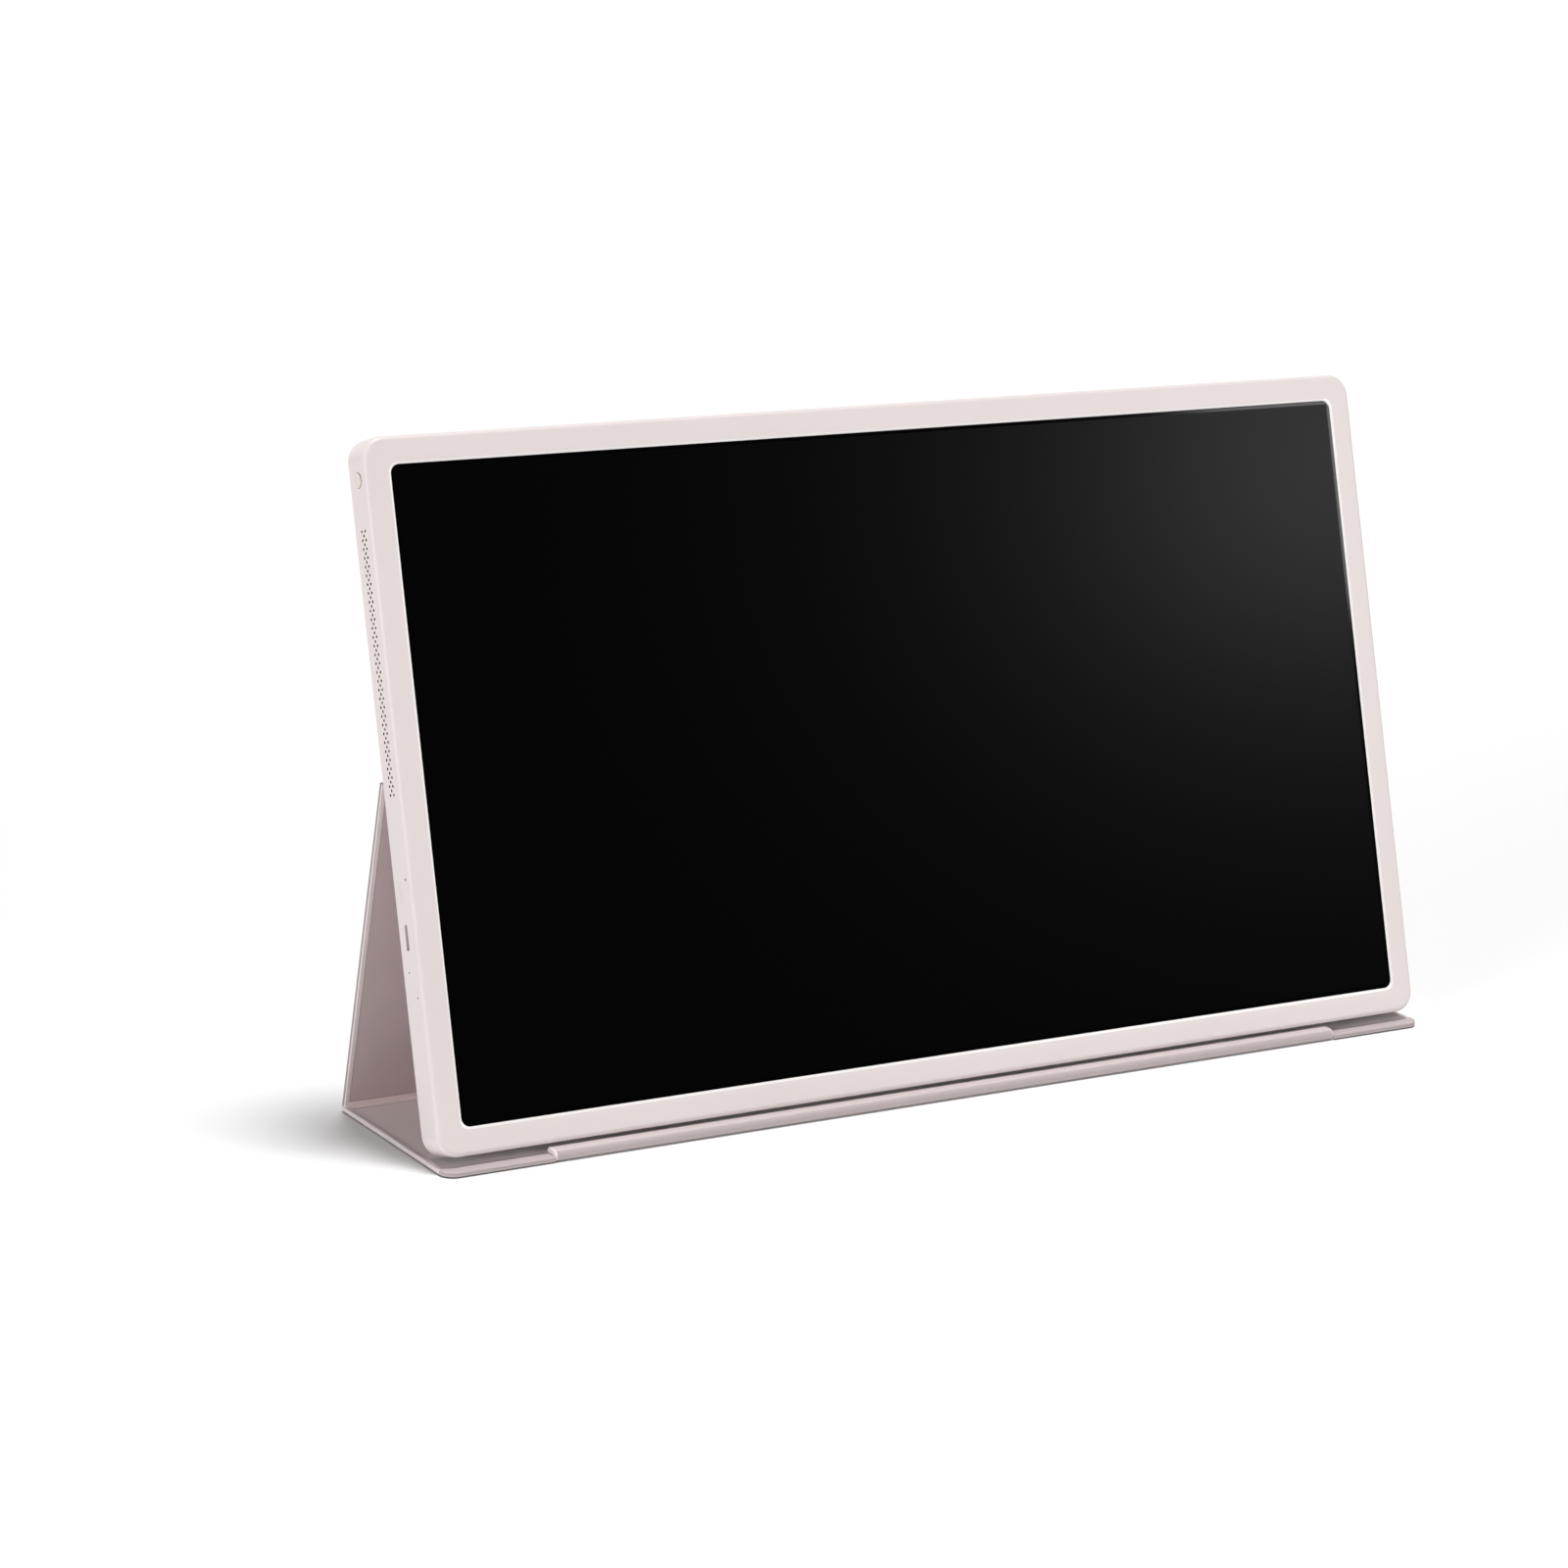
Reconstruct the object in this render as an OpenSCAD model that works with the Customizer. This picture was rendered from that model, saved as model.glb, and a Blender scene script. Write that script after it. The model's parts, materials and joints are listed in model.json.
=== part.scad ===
// Portable monitor propped up by its folding cover.
// X runs to the viewer's right, Y to the back and Z up. The origin is on the floor, in the
// middle of the box round the whole object. All sizes are in millimetres.
//
// The monitor and the cover's upper plate lean back. A leg panel hangs from the plate's lower
// end and stands on the rear end of the base panel. The base carries a folded lip in front.

/* [Screen] */
// Width of the black window in the bezel
window_w = 600.6; // [560:0.2:640]
// Height of the black window in the bezel
window_h = 339.8; // [310:0.2:360]
// Corner radius of the black window
window_r = 5; // [3:0.5:9]
// Thickness of the cover glass
glass_t = 1.2; // [0.8:0.1:1.5]
// Depth of the glass behind the bezel's front face
glass_recess = 0.4; // [0.2:0.1:0.6]
// Thickness of the liquid crystal cell
cell_t = 1.2; // [0.8:0.1:1.5]
// Thickness of the optical sheets
sheets_t = 0.8; // [0.5:0.1:1]
// Thickness of the light guide
guide_t = 2.2; // [1.6:0.1:2.6]
// Width of the light bar under the light guide
bar_w = 2.4; // [1.6:0.2:3]

/* [Monitor body] */
// Width of the bezel between window and outer edge
bezel_w = 14.7; // [14:0.1:20]
// Depth of the body, front to back
body_d = 19; // [18:0.2:24]
// Corner radius of the body, seen from the front
body_r = 12; // [9:0.5:13.5]
// Rounding of the front outer edge
edge_r = 2.6; // [1:0.2:4]
// Wall thickness of the bezel's sides and front
wall = 2.2; // [1.8:0.1:2.4]
// Thickness of the rear cover
rear_t = 2; // [1.6:0.1:2.4]
// Width of the bezel's rim that shows round the rear cover
rear_rim = 1.3; // [1:0.1:1.5]
// Lean of the screen back from upright, in degrees
lean = 16.1; // [12:0.1:20]

/* [Side features] */
// Pitch of the speaker holes up the side
hole_pitch = 4.5; // [3.6:0.1:5]
// Number of holes in an outer speaker column
hole_rows = 31; // [10:1:32]
// Distance between speaker columns
hole_col = 1.95; // [1.8:0.05:2.3]
// Diameter of a speaker hole
hole_d = 1.6; // [1.1:0.05:1.75]
// Distance of the middle of the speaker holes below the body's top
speaker_drop = 114.7; // [113:0.1:118]
// Depth of the middle speaker column behind the front
speaker_depth = 9.1; // [8.6:0.1:9.6]
// Diameter of the power button
power_d = 8; // [6:0.2:9]
// Distance of the power button below the body's top
power_drop = 21.2; // [20.2:0.1:27]
// Depth of the power button behind the front
power_depth = 9; // [8.4:0.1:10]
// Length of the volume key
key_l = 11; // [8:0.5:12]
// Width of the volume key
key_w = 3.6; // [2.6:0.2:4.4]
// Height of the volume key up the body
key_up = 137; // [135.5:0.5:140]
// Depth of the side key and the port behind the front
port_depth = 10.4; // [9.8:0.1:10.8]
// Length of the port opening
port_l = 13.6; // [10:0.2:15]
// Width of the port opening
port_w = 3.4; // [2.6:0.1:4]
// Height of the port up the body
port_up = 114; // [111:0.5:116]
// Travel of the button and the key
press = 0.5; // [0.3:0.05:0.8]

/* [Electronics] */
// Width of the main circuit board
board_w = 190; // [140:2:210]
// Height of the main circuit board
board_h = 96; // [80:2:110]
// Thickness of the circuit boards
board_t = 1.6; // [1:0.1:2]
// Width of one battery cell
cell_w = 66; // [50:1:72]
// Height of the battery cells
cell_h = 120; // [90:2:130]
// Thickness of the battery cells
cell_d = 6; // [4:0.2:6.4]
// Number of battery cells
cells = 4; // [2:1:5]
// Length of a speaker enclosure
speaker_l = 150; // [146:1:158]

/* [Cover] */
// Thickness of the cover's panels
panel_t = 3.2; // [2.8:0.1:4]
// Width of the turned hem round a panel
hem_w = 2.8; // [2.4:0.2:4.4]
// Distance of the leg's board and lining from the crease at the heel
crease_in = 2.8; // [2.4:0.2:6]
// Width of the base's leather between its lining and the heel's roll
crease_wall = 1.2; // [1:0.1:4]
// Thickness of the outer skin under the stiffening boards
skin_t = 0.8; // [0.6:0.1:1]
// Depth of the lining below the hem
lining_drop = 0.4; // [0.2:0.1:0.6]
// Thickness of the lining
lining_t = 0.6; // [0.4:0.1:0.8]
// Distance of the cover's sides from the body's sides
cover_inset = 0.2; // [0:0.1:6]
// Height of the upper fold above the monitor's lower edge, along its back
fold_up = 195; // [185:1:205]
// Distance from the monitor's lower front edge back to the heel fold
heel_back = 111.7; // [100:0.5:130]
// Reach of the base in front of the monitor's lower front edge
base_ahead = 6.6; // [6:0.2:9]
// Corner radius at the front of the base
base_r = 8; // [4:0.5:12]
// Distance of the upper plate from the body's sides and top
plate_inset = 8; // [5:0.5:14]
// Corner radius at the top of the upper plate
plate_r = 9; // [4:1:14]
// Diameter of a magnet in the upper plate
magnet_d = 12; // [8:1:16]
// Distance of the front lip's ends from the cover's sides
lip_in = 63.3; // [40:0.1:120]
// Reach of the lip behind its fold
lip_reach = 6.2; // [5:0.1:6.4]

/* [Hidden] */
$fn = 48;

// Small clearances
fit = 0.15;        // between nested pieces that don't move
run = 0.08;        // radial clearance of a rolled edge in its hollow
rest_gap = 0.2;    // under the monitor's heel, at rest
fold_gap = 0.3;    // between the leg and the monitor's back when folded flat
fold_slack = 0.6;  // from the upper fold to the ends of the leg and of the plate
over = 1;          // how far a cutter runs past what it cuts

// Body
body_w = window_w + 2 * bezel_w;
body_h = window_h + 2 * bezel_w;
mid_up = body_h / 2;
power_up = body_h - power_drop;
speaker_mid = body_h - speaker_drop;
side_x = body_w / 2;
inner_x = side_x - wall;
rear_front = body_d - rear_t;

// Stack behind the glass, as depths behind the bezel's front face
cell_front = glass_recess + glass_t + 0.05;
sheets_front = cell_front + cell_t + 0.05;
guide_front = sheets_front + sheets_t + 0.05;
chassis_front = guide_front + guide_t + 0.05;
chassis_t = 0.8;
chassis_back = chassis_front + chassis_t;
chassis_margin = 2.6;
chassis_w = window_w + 2 * chassis_margin;
chassis_h = window_h + 2 * chassis_margin;
active_margin = 2;
active_w = window_w - 2 * active_margin;
active_h = window_h - 2 * active_margin;
guide_h = active_h - bar_w - 0.2;
leds = 28;
led_h = 0.9;
led_in = 0.4;
bar_end = 3;
standoff_h = 1.4;

// Case screws and their bosses
screw_r = 1.2;
screw_head_r = 2.2;
screw_head_h = 1.2;
screw_l = 6;
screw_key_r = 0.75;
screw_key_h = 0.7;
boss_r = 3.2;
screw_xs = [-245, -82, 82, 245];
screw_inset = wall + boss_r + 0.6;

// Electronics
board_front = chassis_back + standoff_h;
board_back = board_front + board_t;
board_up = 232;
shield_w = 52;
shield_h = 2.4;
shield_t = 0.4;
processor_up = board_up + 4;
spreader_w = 130;
spreader_h = 72;
spreader_t = 0.8;
foot_in = 5;
foot_r = 2.5;
foot_hole_r = 1.2;
// Chips and plugs: places as shares of the board, then width, height and thickness
chips = [
    [-0.37, 0.25, 20, 14, 1.4], [-0.34, -0.21, 26, 18, 2], [0.33, 0.23, 16, 16, 1.2],
    [0.32, -0.19, 30, 12, 2.4], [-0.06, -0.38, 40, 8, 2.2]
];
battery_up = 96;
cell_gap = 3;
tray_t = 0.6;
tray_w = cells * cell_w + (cells + 1) * cell_gap;
tray_h = cell_h + 2 * cell_gap;
ribbon_w = 60;
ribbon_t = 0.3;
ribbon_gap = 0.4;  // between the ribbon and the chassis' edge
ribbon_on = 8;     // how far the ribbon lies behind the main board

// Antennas
antenna_xs = [-160, 160];
antenna_w = 44;
antenna_t = 0.3;
antenna_front = 6;
antenna_back = 14;

// Speakers
speaker_w = inner_x - chassis_w / 2 - 2.2;
speaker_wall = 1.2;
speaker_end = 4;
speaker_slot = 6;
speaker_seal_t = 1;
seal_in = 0.4;
speaker_front = wall + 1;
speaker_back = rear_front - 0.4;

// Button, key and port
flange_t = 1;
flange_lip = 0.9;
cap_proud = 0.4;
key_proud = 0.15;
stem_l = 1.6;
switch_l = 3.4;
stem_r = 1.4;
switch_h = 6;
switch_ahead = 2;
switch_pin_r = 0.9;
switch_pin_l = 0.8;
seat = 0.1;        // between a flange, a shell or a switch and what it lies against
port_len = 9.5;
port_wall = 0.6;
port_board_w = 34;
port_board_h = 36;
port_board_t = 1;
port_board_drop = 4;
tongue_l = 7;
tongue_t = 0.8;
tongue_side = 2;

// Small holes in the left side: the status light and the microphones, as height and depth
status_r = 0.7;
status_up = 143.6;
status_depth = 4.6;
status_l = 1.5;
mic_hole_r = 0.5;
mic_places = [[96, 11.6], [83, 5.2]];
mic_t = 1.2;
mic_w = 4;
mic_h = 3;

// Pose of the monitor at rest
lift = panel_t + rest_gap + body_d * sin(lean);
fold_depth = body_d + fold_gap + panel_t;
fold_y = fold_up * sin(lean) + fold_depth * cos(lean);
fold_z = lift + fold_up * cos(lean) - fold_depth * sin(lean);

// The leg runs from the heel fold, on its inner face, to the upper fold, on its outer face
leg_span = norm([fold_y - heel_back, fold_z - panel_t]);
leg_len = sqrt(leg_span * leg_span - panel_t * panel_t);
leg_angle = atan2(fold_z - panel_t, fold_y - heel_back) + atan(panel_t / leg_len);
close_angle = leg_angle - (90 - lean);

// Width and layers of the cover's panels, and the hem next to a fold
cover_w = body_w - 2 * cover_inset;
board_low = skin_t;
board_high = panel_t - lining_drop - lining_t;
lining_high = panel_t - lining_drop;
fold_hem = panel_t + hem_w;

// Lip
lip_w = cover_w - 2 * lip_in;
lip_y = panel_t - base_ahead;
lip_gap = 0.2;
lip_tip_r = 1.2;
lip_mid = (3 * panel_t + lip_gap) / 2;
lip_pocket_in = 20;
lip_pocket_t = 1.4;
lip_pocket_front = 0.4;
lip_pocket_edge = 1.4;

// Upper plate
plate_low = fold_up + fold_slack;
plate_high = body_h - plate_inset;
plate_w = body_w - 2 * plate_inset;
magnet_columns = 6;
magnet_in = 45;    // from the plate's edges to the outer magnets' middles
magnet_pitch = (plate_w - 2 * magnet_in) / (magnet_columns - 1);

// Footprint, and the shift that puts the origin in its middle
foot_front = -base_ahead;
plate_back_y = plate_high * sin(lean) + (body_d + panel_t) * cos(lean);
body_back_y = body_h * sin(lean) + body_d * cos(lean);
foot_back = max(plate_back_y, body_back_y, heel_back + panel_t);
mid_y = (foot_front + foot_back) / 2;

pinkish = [0.90, 0.865, 0.86];
leather = [0.80, 0.74, 0.74];
suede = [0.66, 0.58, 0.58];
steel = [0.75, 0.76, 0.78];
circuit = [0.12, 0.34, 0.22];
dark = [0.1, 0.1, 0.11];

echo(mid_y = mid_y, lift = lift, leg_len = leg_len, leg_angle = leg_angle,
     close_angle = close_angle, ratio = -close_angle / leg_angle);
echo(heel = [0, heel_back - mid_y, panel_t], upper_fold = [0, fold_y - mid_y, fold_z],
     lip_fold = [0, lip_y - mid_y, panel_t]);

// Flat outline with round corners, centred
module round_rect(w, h, r) {
    square([w - 2 * r, h], center = true);
    square([w, h - 2 * r], center = true);
    for (x = [-1, 1], y = [-1, 1])
        translate([x * (w / 2 - r), y * (h / 2 - r)]) circle(r);
}

// Everything inside is drawn flat: x across, y up the body, z = minus the depth behind the front
module in_monitor() {
    translate([0, -mid_y, lift]) rotate([90 - lean, 0, 0]) children();
}

// A slab of the body between two depths, its middle at height up
module slab(w, h, r, front, back, up = mid_up, x = 0) {
    translate([x, up, -back]) linear_extrude(back - front) round_rect(w, h, r);
}

// A plain block of the body between two depths
module block(w, h, front, back, up = mid_up, x = 0) {
    translate([x - w / 2, up - h / 2, -back]) cube([w, h, back - front]);
}

// A round rod along X from x0 to x1, at a height and a depth
module side_rod(r, x0, x1, up, depth) {
    translate([min(x0, x1), up, -depth]) rotate([0, 90, 0]) cylinder(r = r, h = abs(x1 - x0));
}

// A rod with a pill-shaped section, long way up the body
module side_pill(l, w, x0, x1, up, depth) {
    for (s = [-1, 1]) side_rod(w / 2, x0, x1, up + s * (l - w) / 2, depth);
    translate([min(x0, x1), up - (l - w) / 2, -depth - w / 2]) cube([abs(x1 - x0), l - w, w]);
}

// What rounds off the front outer edge: the corner between a square and a circle
module edge_profile() {
    difference() {
        translate([-edge_r, -edge_r]) square(edge_r + over);
        translate([-edge_r, -edge_r]) circle(edge_r);
    }
}

module edge_cutter() {
    straight_w = body_w - 2 * body_r;
    straight_h = body_h - 2 * body_r;
    for (s = [0, 1]) {
        translate([0, mid_up, 0]) rotate([0, 0, 180 * s]) translate([side_x, straight_h / 2, 0])
            rotate([90, 0, 0]) linear_extrude(straight_h) edge_profile();
        translate([0, mid_up, 0]) rotate([0, 0, 90 + 180 * s])
            translate([body_h / 2, straight_w / 2, 0])
            rotate([90, 0, 0]) linear_extrude(straight_w) edge_profile();
    }
    for (x = [-1, 1], y = [-1, 1])
        translate([x * (side_x - body_r), mid_up + y * (body_h / 2 - body_r), 0])
            rotate([0, 0, x > 0 ? (y > 0 ? 0 : -90) : (y > 0 ? 90 : 180)])
            rotate_extrude(angle = 90) translate([body_r, 0]) edge_profile();
}

// Three staggered columns of holes, the middle one a hole shorter
module speaker_holes(side) {
    for (c = [-1, 0, 1], i = [0 : hole_rows - 1 - (c == 0 ? 1 : 0)])
        side_rod(hole_d / 2, side * (inner_x - over), side * (side_x + over),
            speaker_mid + (i - (hole_rows - 1) / 2 + (c == 0 ? 0.5 : 0)) * hole_pitch,
            speaker_depth + c * hole_col, $fn = 16);
}

module screw_places() {
    for (x = screw_xs, y = [screw_inset, body_h - screw_inset]) translate([x, y, 0]) children();
}

// MONITOR

module front_bezel() color(pinkish) in_monitor() difference() {
    union() {
        difference() {
            slab(body_w, body_h, body_r, 0, body_d);
            slab(body_w - 2 * wall, body_h - 2 * wall, body_r - wall, wall, body_d + over);
        }
        screw_places() translate([0, 0, -rear_front]) cylinder(r = boss_r, h = rear_front - 1);
    }
    slab(window_w, window_h, window_r, -over, wall + over);
    slab(body_w - 2 * rear_rim, body_h - 2 * rear_rim, body_r - rear_rim, rear_front,
        body_d + over);
    edge_cutter();
    screw_places() translate([0, 0, -rear_front - over])
        cylinder(r = screw_r + run / 2, h = screw_l + over);
    for (side = [-1, 1]) speaker_holes(side);
    side_rod(power_d / 2 + fit, -side_x - over, -inner_x + over, power_up, power_depth);
    side_pill(key_l + 2 * fit, key_w + 2 * fit, -side_x - over, -inner_x + over, key_up,
        port_depth);
    side_pill(port_l, port_w, -side_x - over, -inner_x + over, port_up, port_depth);
    side_rod(status_r, -side_x - over, -inner_x + over, status_up, status_depth);
    for (m = mic_places) side_rod(mic_hole_r, -side_x - over, -inner_x + over, m[0], m[1]);
}

module rear_cover() color(pinkish) in_monitor() difference() {
    slab(body_w - 2 * rear_rim - 2 * fit, body_h - 2 * rear_rim - 2 * fit,
        body_r - rear_rim - fit, rear_front, body_d);
    screw_places() translate([0, 0, -body_d - over]) {
        cylinder(r = screw_r + fit, h = rear_t + 2 * over);
        cylinder(r = screw_head_r + fit, h = screw_head_h + over);
    }
}

module case_screws() color(steel) in_monitor() screw_places() difference() {
    union() {
        translate([0, 0, -body_d]) cylinder(r = screw_head_r, h = screw_head_h);
        translate([0, 0, -body_d]) cylinder(r = screw_r, h = rear_t + screw_l - 0.5);
    }
    translate([0, 0, -body_d - over]) cylinder(r = screw_key_r, h = over + screw_key_h, $fn = 6);
}

module cover_glass() color([0.02, 0.02, 0.02]) in_monitor()
    slab(window_w - 2 * fit, window_h - 2 * fit, window_r - fit, glass_recess,
        glass_recess + glass_t);

module lcd_cell() color(dark) in_monitor()
    block(active_w, active_h, cell_front, cell_front + cell_t);

module optical_sheets() color([0.95, 0.95, 0.95]) in_monitor()
    block(active_w, active_h, sheets_front, sheets_front + sheets_t);

module light_guide() color([0.9, 0.95, 0.95]) in_monitor()
    block(active_w, guide_h, guide_front, guide_front + guide_t, mid_up + (active_h - guide_h) / 2);

module light_bar() color([0.95, 0.9, 0.7]) in_monitor() {
    low = mid_up - active_h / 2;
    strip_h = bar_w - led_h - 0.1;
    strip_w = active_w - 2 * bar_end;
    block(strip_w, strip_h, guide_front, guide_front + guide_t, low + strip_h / 2);
    for (i = [0 : leds - 1])
        block(strip_w / leds / 3, led_h, guide_front + led_in, guide_front + guide_t - led_in,
            low + strip_h + led_h / 2, (i - (leds - 1) / 2) * strip_w / leds);
}

module foot_places(z) for (x = [-1, 1], y = [-1, 1])
    translate([x * (board_w / 2 - foot_in), board_up + y * (board_h / 2 - foot_in), z])
        children();

// Tray behind the light guide: a thin back with a wall round it, and feet for the main board
module panel_chassis() color(steel) in_monitor() {
    difference() {
        block(chassis_w, chassis_h, wall + 0.1, chassis_back);
        block(chassis_w - 2 * chassis_t, chassis_h - 2 * chassis_t, 0, chassis_front);
    }
    foot_places(-board_front) cylinder(r = foot_r, h = standoff_h);
}

// Flat cable from the cell's lower edge, round the chassis and up to the main board
module panel_ribbon() color([0.85, 0.6, 0.2]) in_monitor() {
    low = mid_up - chassis_h / 2 - ribbon_gap;
    edge = wall + ribbon_gap;
    back = chassis_back + seat;
    top = board_up - board_h / 2 + ribbon_on;
    translate([-ribbon_w / 2, 0, 0]) rotate([90, 0, 90]) linear_extrude(ribbon_w) polygon([
        [low - ribbon_t, -edge], [low, -edge], [low, -back], [top, -back],
        [top, -back - ribbon_t], [low - ribbon_t, -back - ribbon_t]
    ]);
}

module main_board() color(circuit) in_monitor() {
    difference() {
        block(board_w, board_h, board_front, board_back, board_up);
        foot_places(-rear_front) cylinder(r = foot_hole_r, h = rear_front);
    }
    for (c = chips)
        block(c[2], c[3], board_back, board_back + c[4], board_up + c[1] * board_h,
            c[0] * board_w);
}

// Metal can over the processor, open towards the board
module processor_shield() color(steel) in_monitor() {
    inside_w = shield_w - 2 * shield_t;
    difference() {
        block(shield_w, shield_w, board_back, board_back + shield_h, processor_up);
        block(inside_w, inside_w, board_back - over, board_back + shield_h - shield_t,
            processor_up);
    }
}

module heat_spreader() color([0.85, 0.86, 0.88]) in_monitor() {
    face = board_back + shield_h;
    block(spreader_w, spreader_h, face, face + spreader_t, processor_up);
}

module battery_cells() color([0.25, 0.27, 0.3]) in_monitor() for (i = [0 : cells - 1])
    block(cell_w, cell_h, chassis_back + tray_t, chassis_back + tray_t + cell_d, battery_up,
        (i - (cells - 1) / 2) * (cell_w + cell_gap));

module battery_tray() color(dark) in_monitor() difference() {
    block(tray_w, tray_h, chassis_back, chassis_back + tray_t + cell_d / 2, battery_up);
    for (i = [0 : cells - 1])
        block(cell_w + fit, cell_h + fit, chassis_back + tray_t, body_d, battery_up,
            (i - (cells - 1) / 2) * (cell_w + cell_gap));
    block(ribbon_w + 2 * over, tray_h + 2 * over, 0, chassis_back + ribbon_t + fit, battery_up);
}

module antennas() color([0.3, 0.3, 0.32]) in_monitor() for (x = antenna_xs)
    block(antenna_w, antenna_t, antenna_front, antenna_back, body_h - wall - antenna_t / 2, x);

// Speaker enclosure with an open slot that faces the holes in the side wall
module speaker(side) {
    x0 = inner_x - speaker_seal_t;
    difference() {
        block(speaker_w, speaker_l, speaker_front, speaker_back, speaker_mid,
            side * (x0 - speaker_w / 2));
        block(2 * (speaker_w - speaker_wall), speaker_l - 2 * speaker_end,
            speaker_depth - speaker_slot / 2, speaker_depth + speaker_slot / 2, speaker_mid,
            side * x0);
    }
}

// Foam frame between the side wall and the speaker
module speaker_seal(side) difference() {
    block(speaker_seal_t, speaker_l - 2 * seal_in, speaker_front + seal_in,
        speaker_back - seal_in, speaker_mid, side * (inner_x - speaker_seal_t / 2));
    block(speaker_seal_t + over, speaker_l - 2 * speaker_end, speaker_depth - speaker_slot / 2,
        speaker_depth + speaker_slot / 2, speaker_mid, side * (inner_x - speaker_seal_t / 2));
}

module left_speaker() color(dark) in_monitor() speaker(-1);
module right_speaker() color(dark) in_monitor() speaker(1);
module left_speaker_seal() color([0.3, 0.3, 0.3]) in_monitor() speaker_seal(-1);
module right_speaker_seal() color([0.3, 0.3, 0.3]) in_monitor() speaker_seal(1);

// A cap through the side wall, its flange behind the wall and a stem to the switch
module power_button() color(pinkish) in_monitor() {
    side_rod(power_d / 2, -side_x - cap_proud, -inner_x + seat, power_up, power_depth);
    side_rod(power_d / 2 + flange_lip, -inner_x + seat, -inner_x + seat + flange_t, power_up,
        power_depth);
    side_rod(stem_r, -inner_x + seat + flange_t, -inner_x + seat + flange_t + stem_l, power_up,
        power_depth);
}

module volume_key() color(pinkish) in_monitor() {
    side_pill(key_l, key_w, -side_x - key_proud, -inner_x + seat, key_up, port_depth);
    side_pill(key_l + 2 * flange_lip, key_w + 2 * flange_lip, -inner_x + seat,
        -inner_x + seat + flange_t, key_up, port_depth);
    side_rod(stem_r, -inner_x + seat + flange_t, -inner_x + seat + flange_t + stem_l, key_up,
        port_depth);
}

// Small switch just past the stem's travel, on its own bracket down to the rear cover
module side_switch(up, depth) {
    x0 = -inner_x + seat + flange_t + stem_l + press + seat;
    side_rod(switch_pin_r, x0, x0 + switch_pin_l, up, depth);
    block(switch_l, switch_h, depth - switch_ahead, rear_front - seat, up,
        x0 + switch_pin_l + switch_l / 2);
}

module power_switch() color(dark) in_monitor() side_switch(power_up, power_depth);
module volume_switch() color(dark) in_monitor() side_switch(key_up, port_depth);

module port_shell() color(steel) in_monitor() difference() {
    side_pill(port_l + 2 * port_wall, port_w + 2 * port_wall, -inner_x + seat,
        -inner_x + seat + port_len, port_up, port_depth);
    side_pill(port_l, port_w, -inner_x - over, -inner_x + port_len - port_wall, port_up,
        port_depth);
}

module port_tongue() color(dark) in_monitor()
    block(tongue_l, port_l - 2 * tongue_side, port_depth - tongue_t / 2,
        port_depth + tongue_t / 2, port_up, -inner_x + port_len - port_wall - tongue_l / 2);

module port_board() color(circuit) in_monitor()
    block(port_board_w, port_board_h, port_depth + port_w / 2 + port_wall,
        port_depth + port_w / 2 + port_wall + port_board_t, port_up - port_board_drop,
        -inner_x + flange_t + stem_l + port_board_w / 2);

module status_light() color([0.9, 0.95, 0.9]) in_monitor()
    side_rod(status_r - run / 2, -side_x + seat, -inner_x + status_l, status_up, status_depth);

module microphones() color(steel) in_monitor() for (m = mic_places)
    block(mic_t, mic_w, m[1] - mic_h / 2, m[1] + mic_h / 2, m[0], -inner_x + mic_t / 2);

// COVER

// A panel drawn flat, outer side down: its skin is a tray with a hem, board and lining inside
module panel_space(w, y0, y1, r, low, high) {
    translate([0, (y0 + y1) / 2, low]) linear_extrude(high - low) round_rect(w, y1 - y0, r);
}

// Upper plate: lies on the body's back, outer side away from it
module in_plate() {
    in_monitor() translate([0, 0, -body_d - panel_t]) children();
}

module plate_pocket(low, high, gap)
    panel_space(plate_w - 2 * hem_w - 2 * gap, plate_low + hem_w + gap,
        plate_high - hem_w - gap, plate_r / 2, low, high);

// Round corners at the top, square ones next to the fold
module plate_outline() {
    straight = plate_high - plate_low - plate_r;
    translate([-plate_w / 2, plate_low]) square([plate_w, straight]);
    translate([-plate_w / 2 + plate_r, plate_low])
        square([plate_w - 2 * plate_r, straight + plate_r]);
    for (x = [-1, 1])
        translate([x * (plate_w / 2 - plate_r), plate_high - plate_r]) circle(plate_r);
}

module plate_skin() color(leather) in_plate() difference() {
    linear_extrude(panel_t) plate_outline();
    plate_pocket(skin_t, panel_t + over, 0);
}

module magnet_places() {
    for (i = [0 : magnet_columns - 1], y = [plate_low + magnet_in, plate_high - magnet_in])
        translate([(i - (magnet_columns - 1) / 2) * magnet_pitch, y, 0]) children();
}

module plate_board() color([0.5, 0.45, 0.4]) in_plate() difference() {
    plate_pocket(board_low, board_high, fit);
    magnet_places() cylinder(r = magnet_d / 2 + fit, h = panel_t);
}

module plate_magnets() color(steel) in_plate() magnet_places()
    translate([0, 0, board_low]) cylinder(r = magnet_d / 2, h = board_high - board_low);

module plate_lining() color(suede) in_plate() plate_pocket(board_high, panel_t, fit);

// Leg: drawn flat behind the heel fold, then stood up on it
module in_leg() {
    translate([0, heel_back - mid_y, panel_t]) rotate([leg_angle, 0, 0])
        translate([0, 0, -panel_t]) children();
}

module leg_pocket(low, high, gap) {
    y0 = crease_in + gap;
    y1 = leg_len - hem_w - gap;
    translate([-cover_w / 2 + hem_w + gap, y0, low])
        cube([cover_w - 2 * hem_w - 2 * gap, y1 - y0, high - low]);
}

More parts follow.
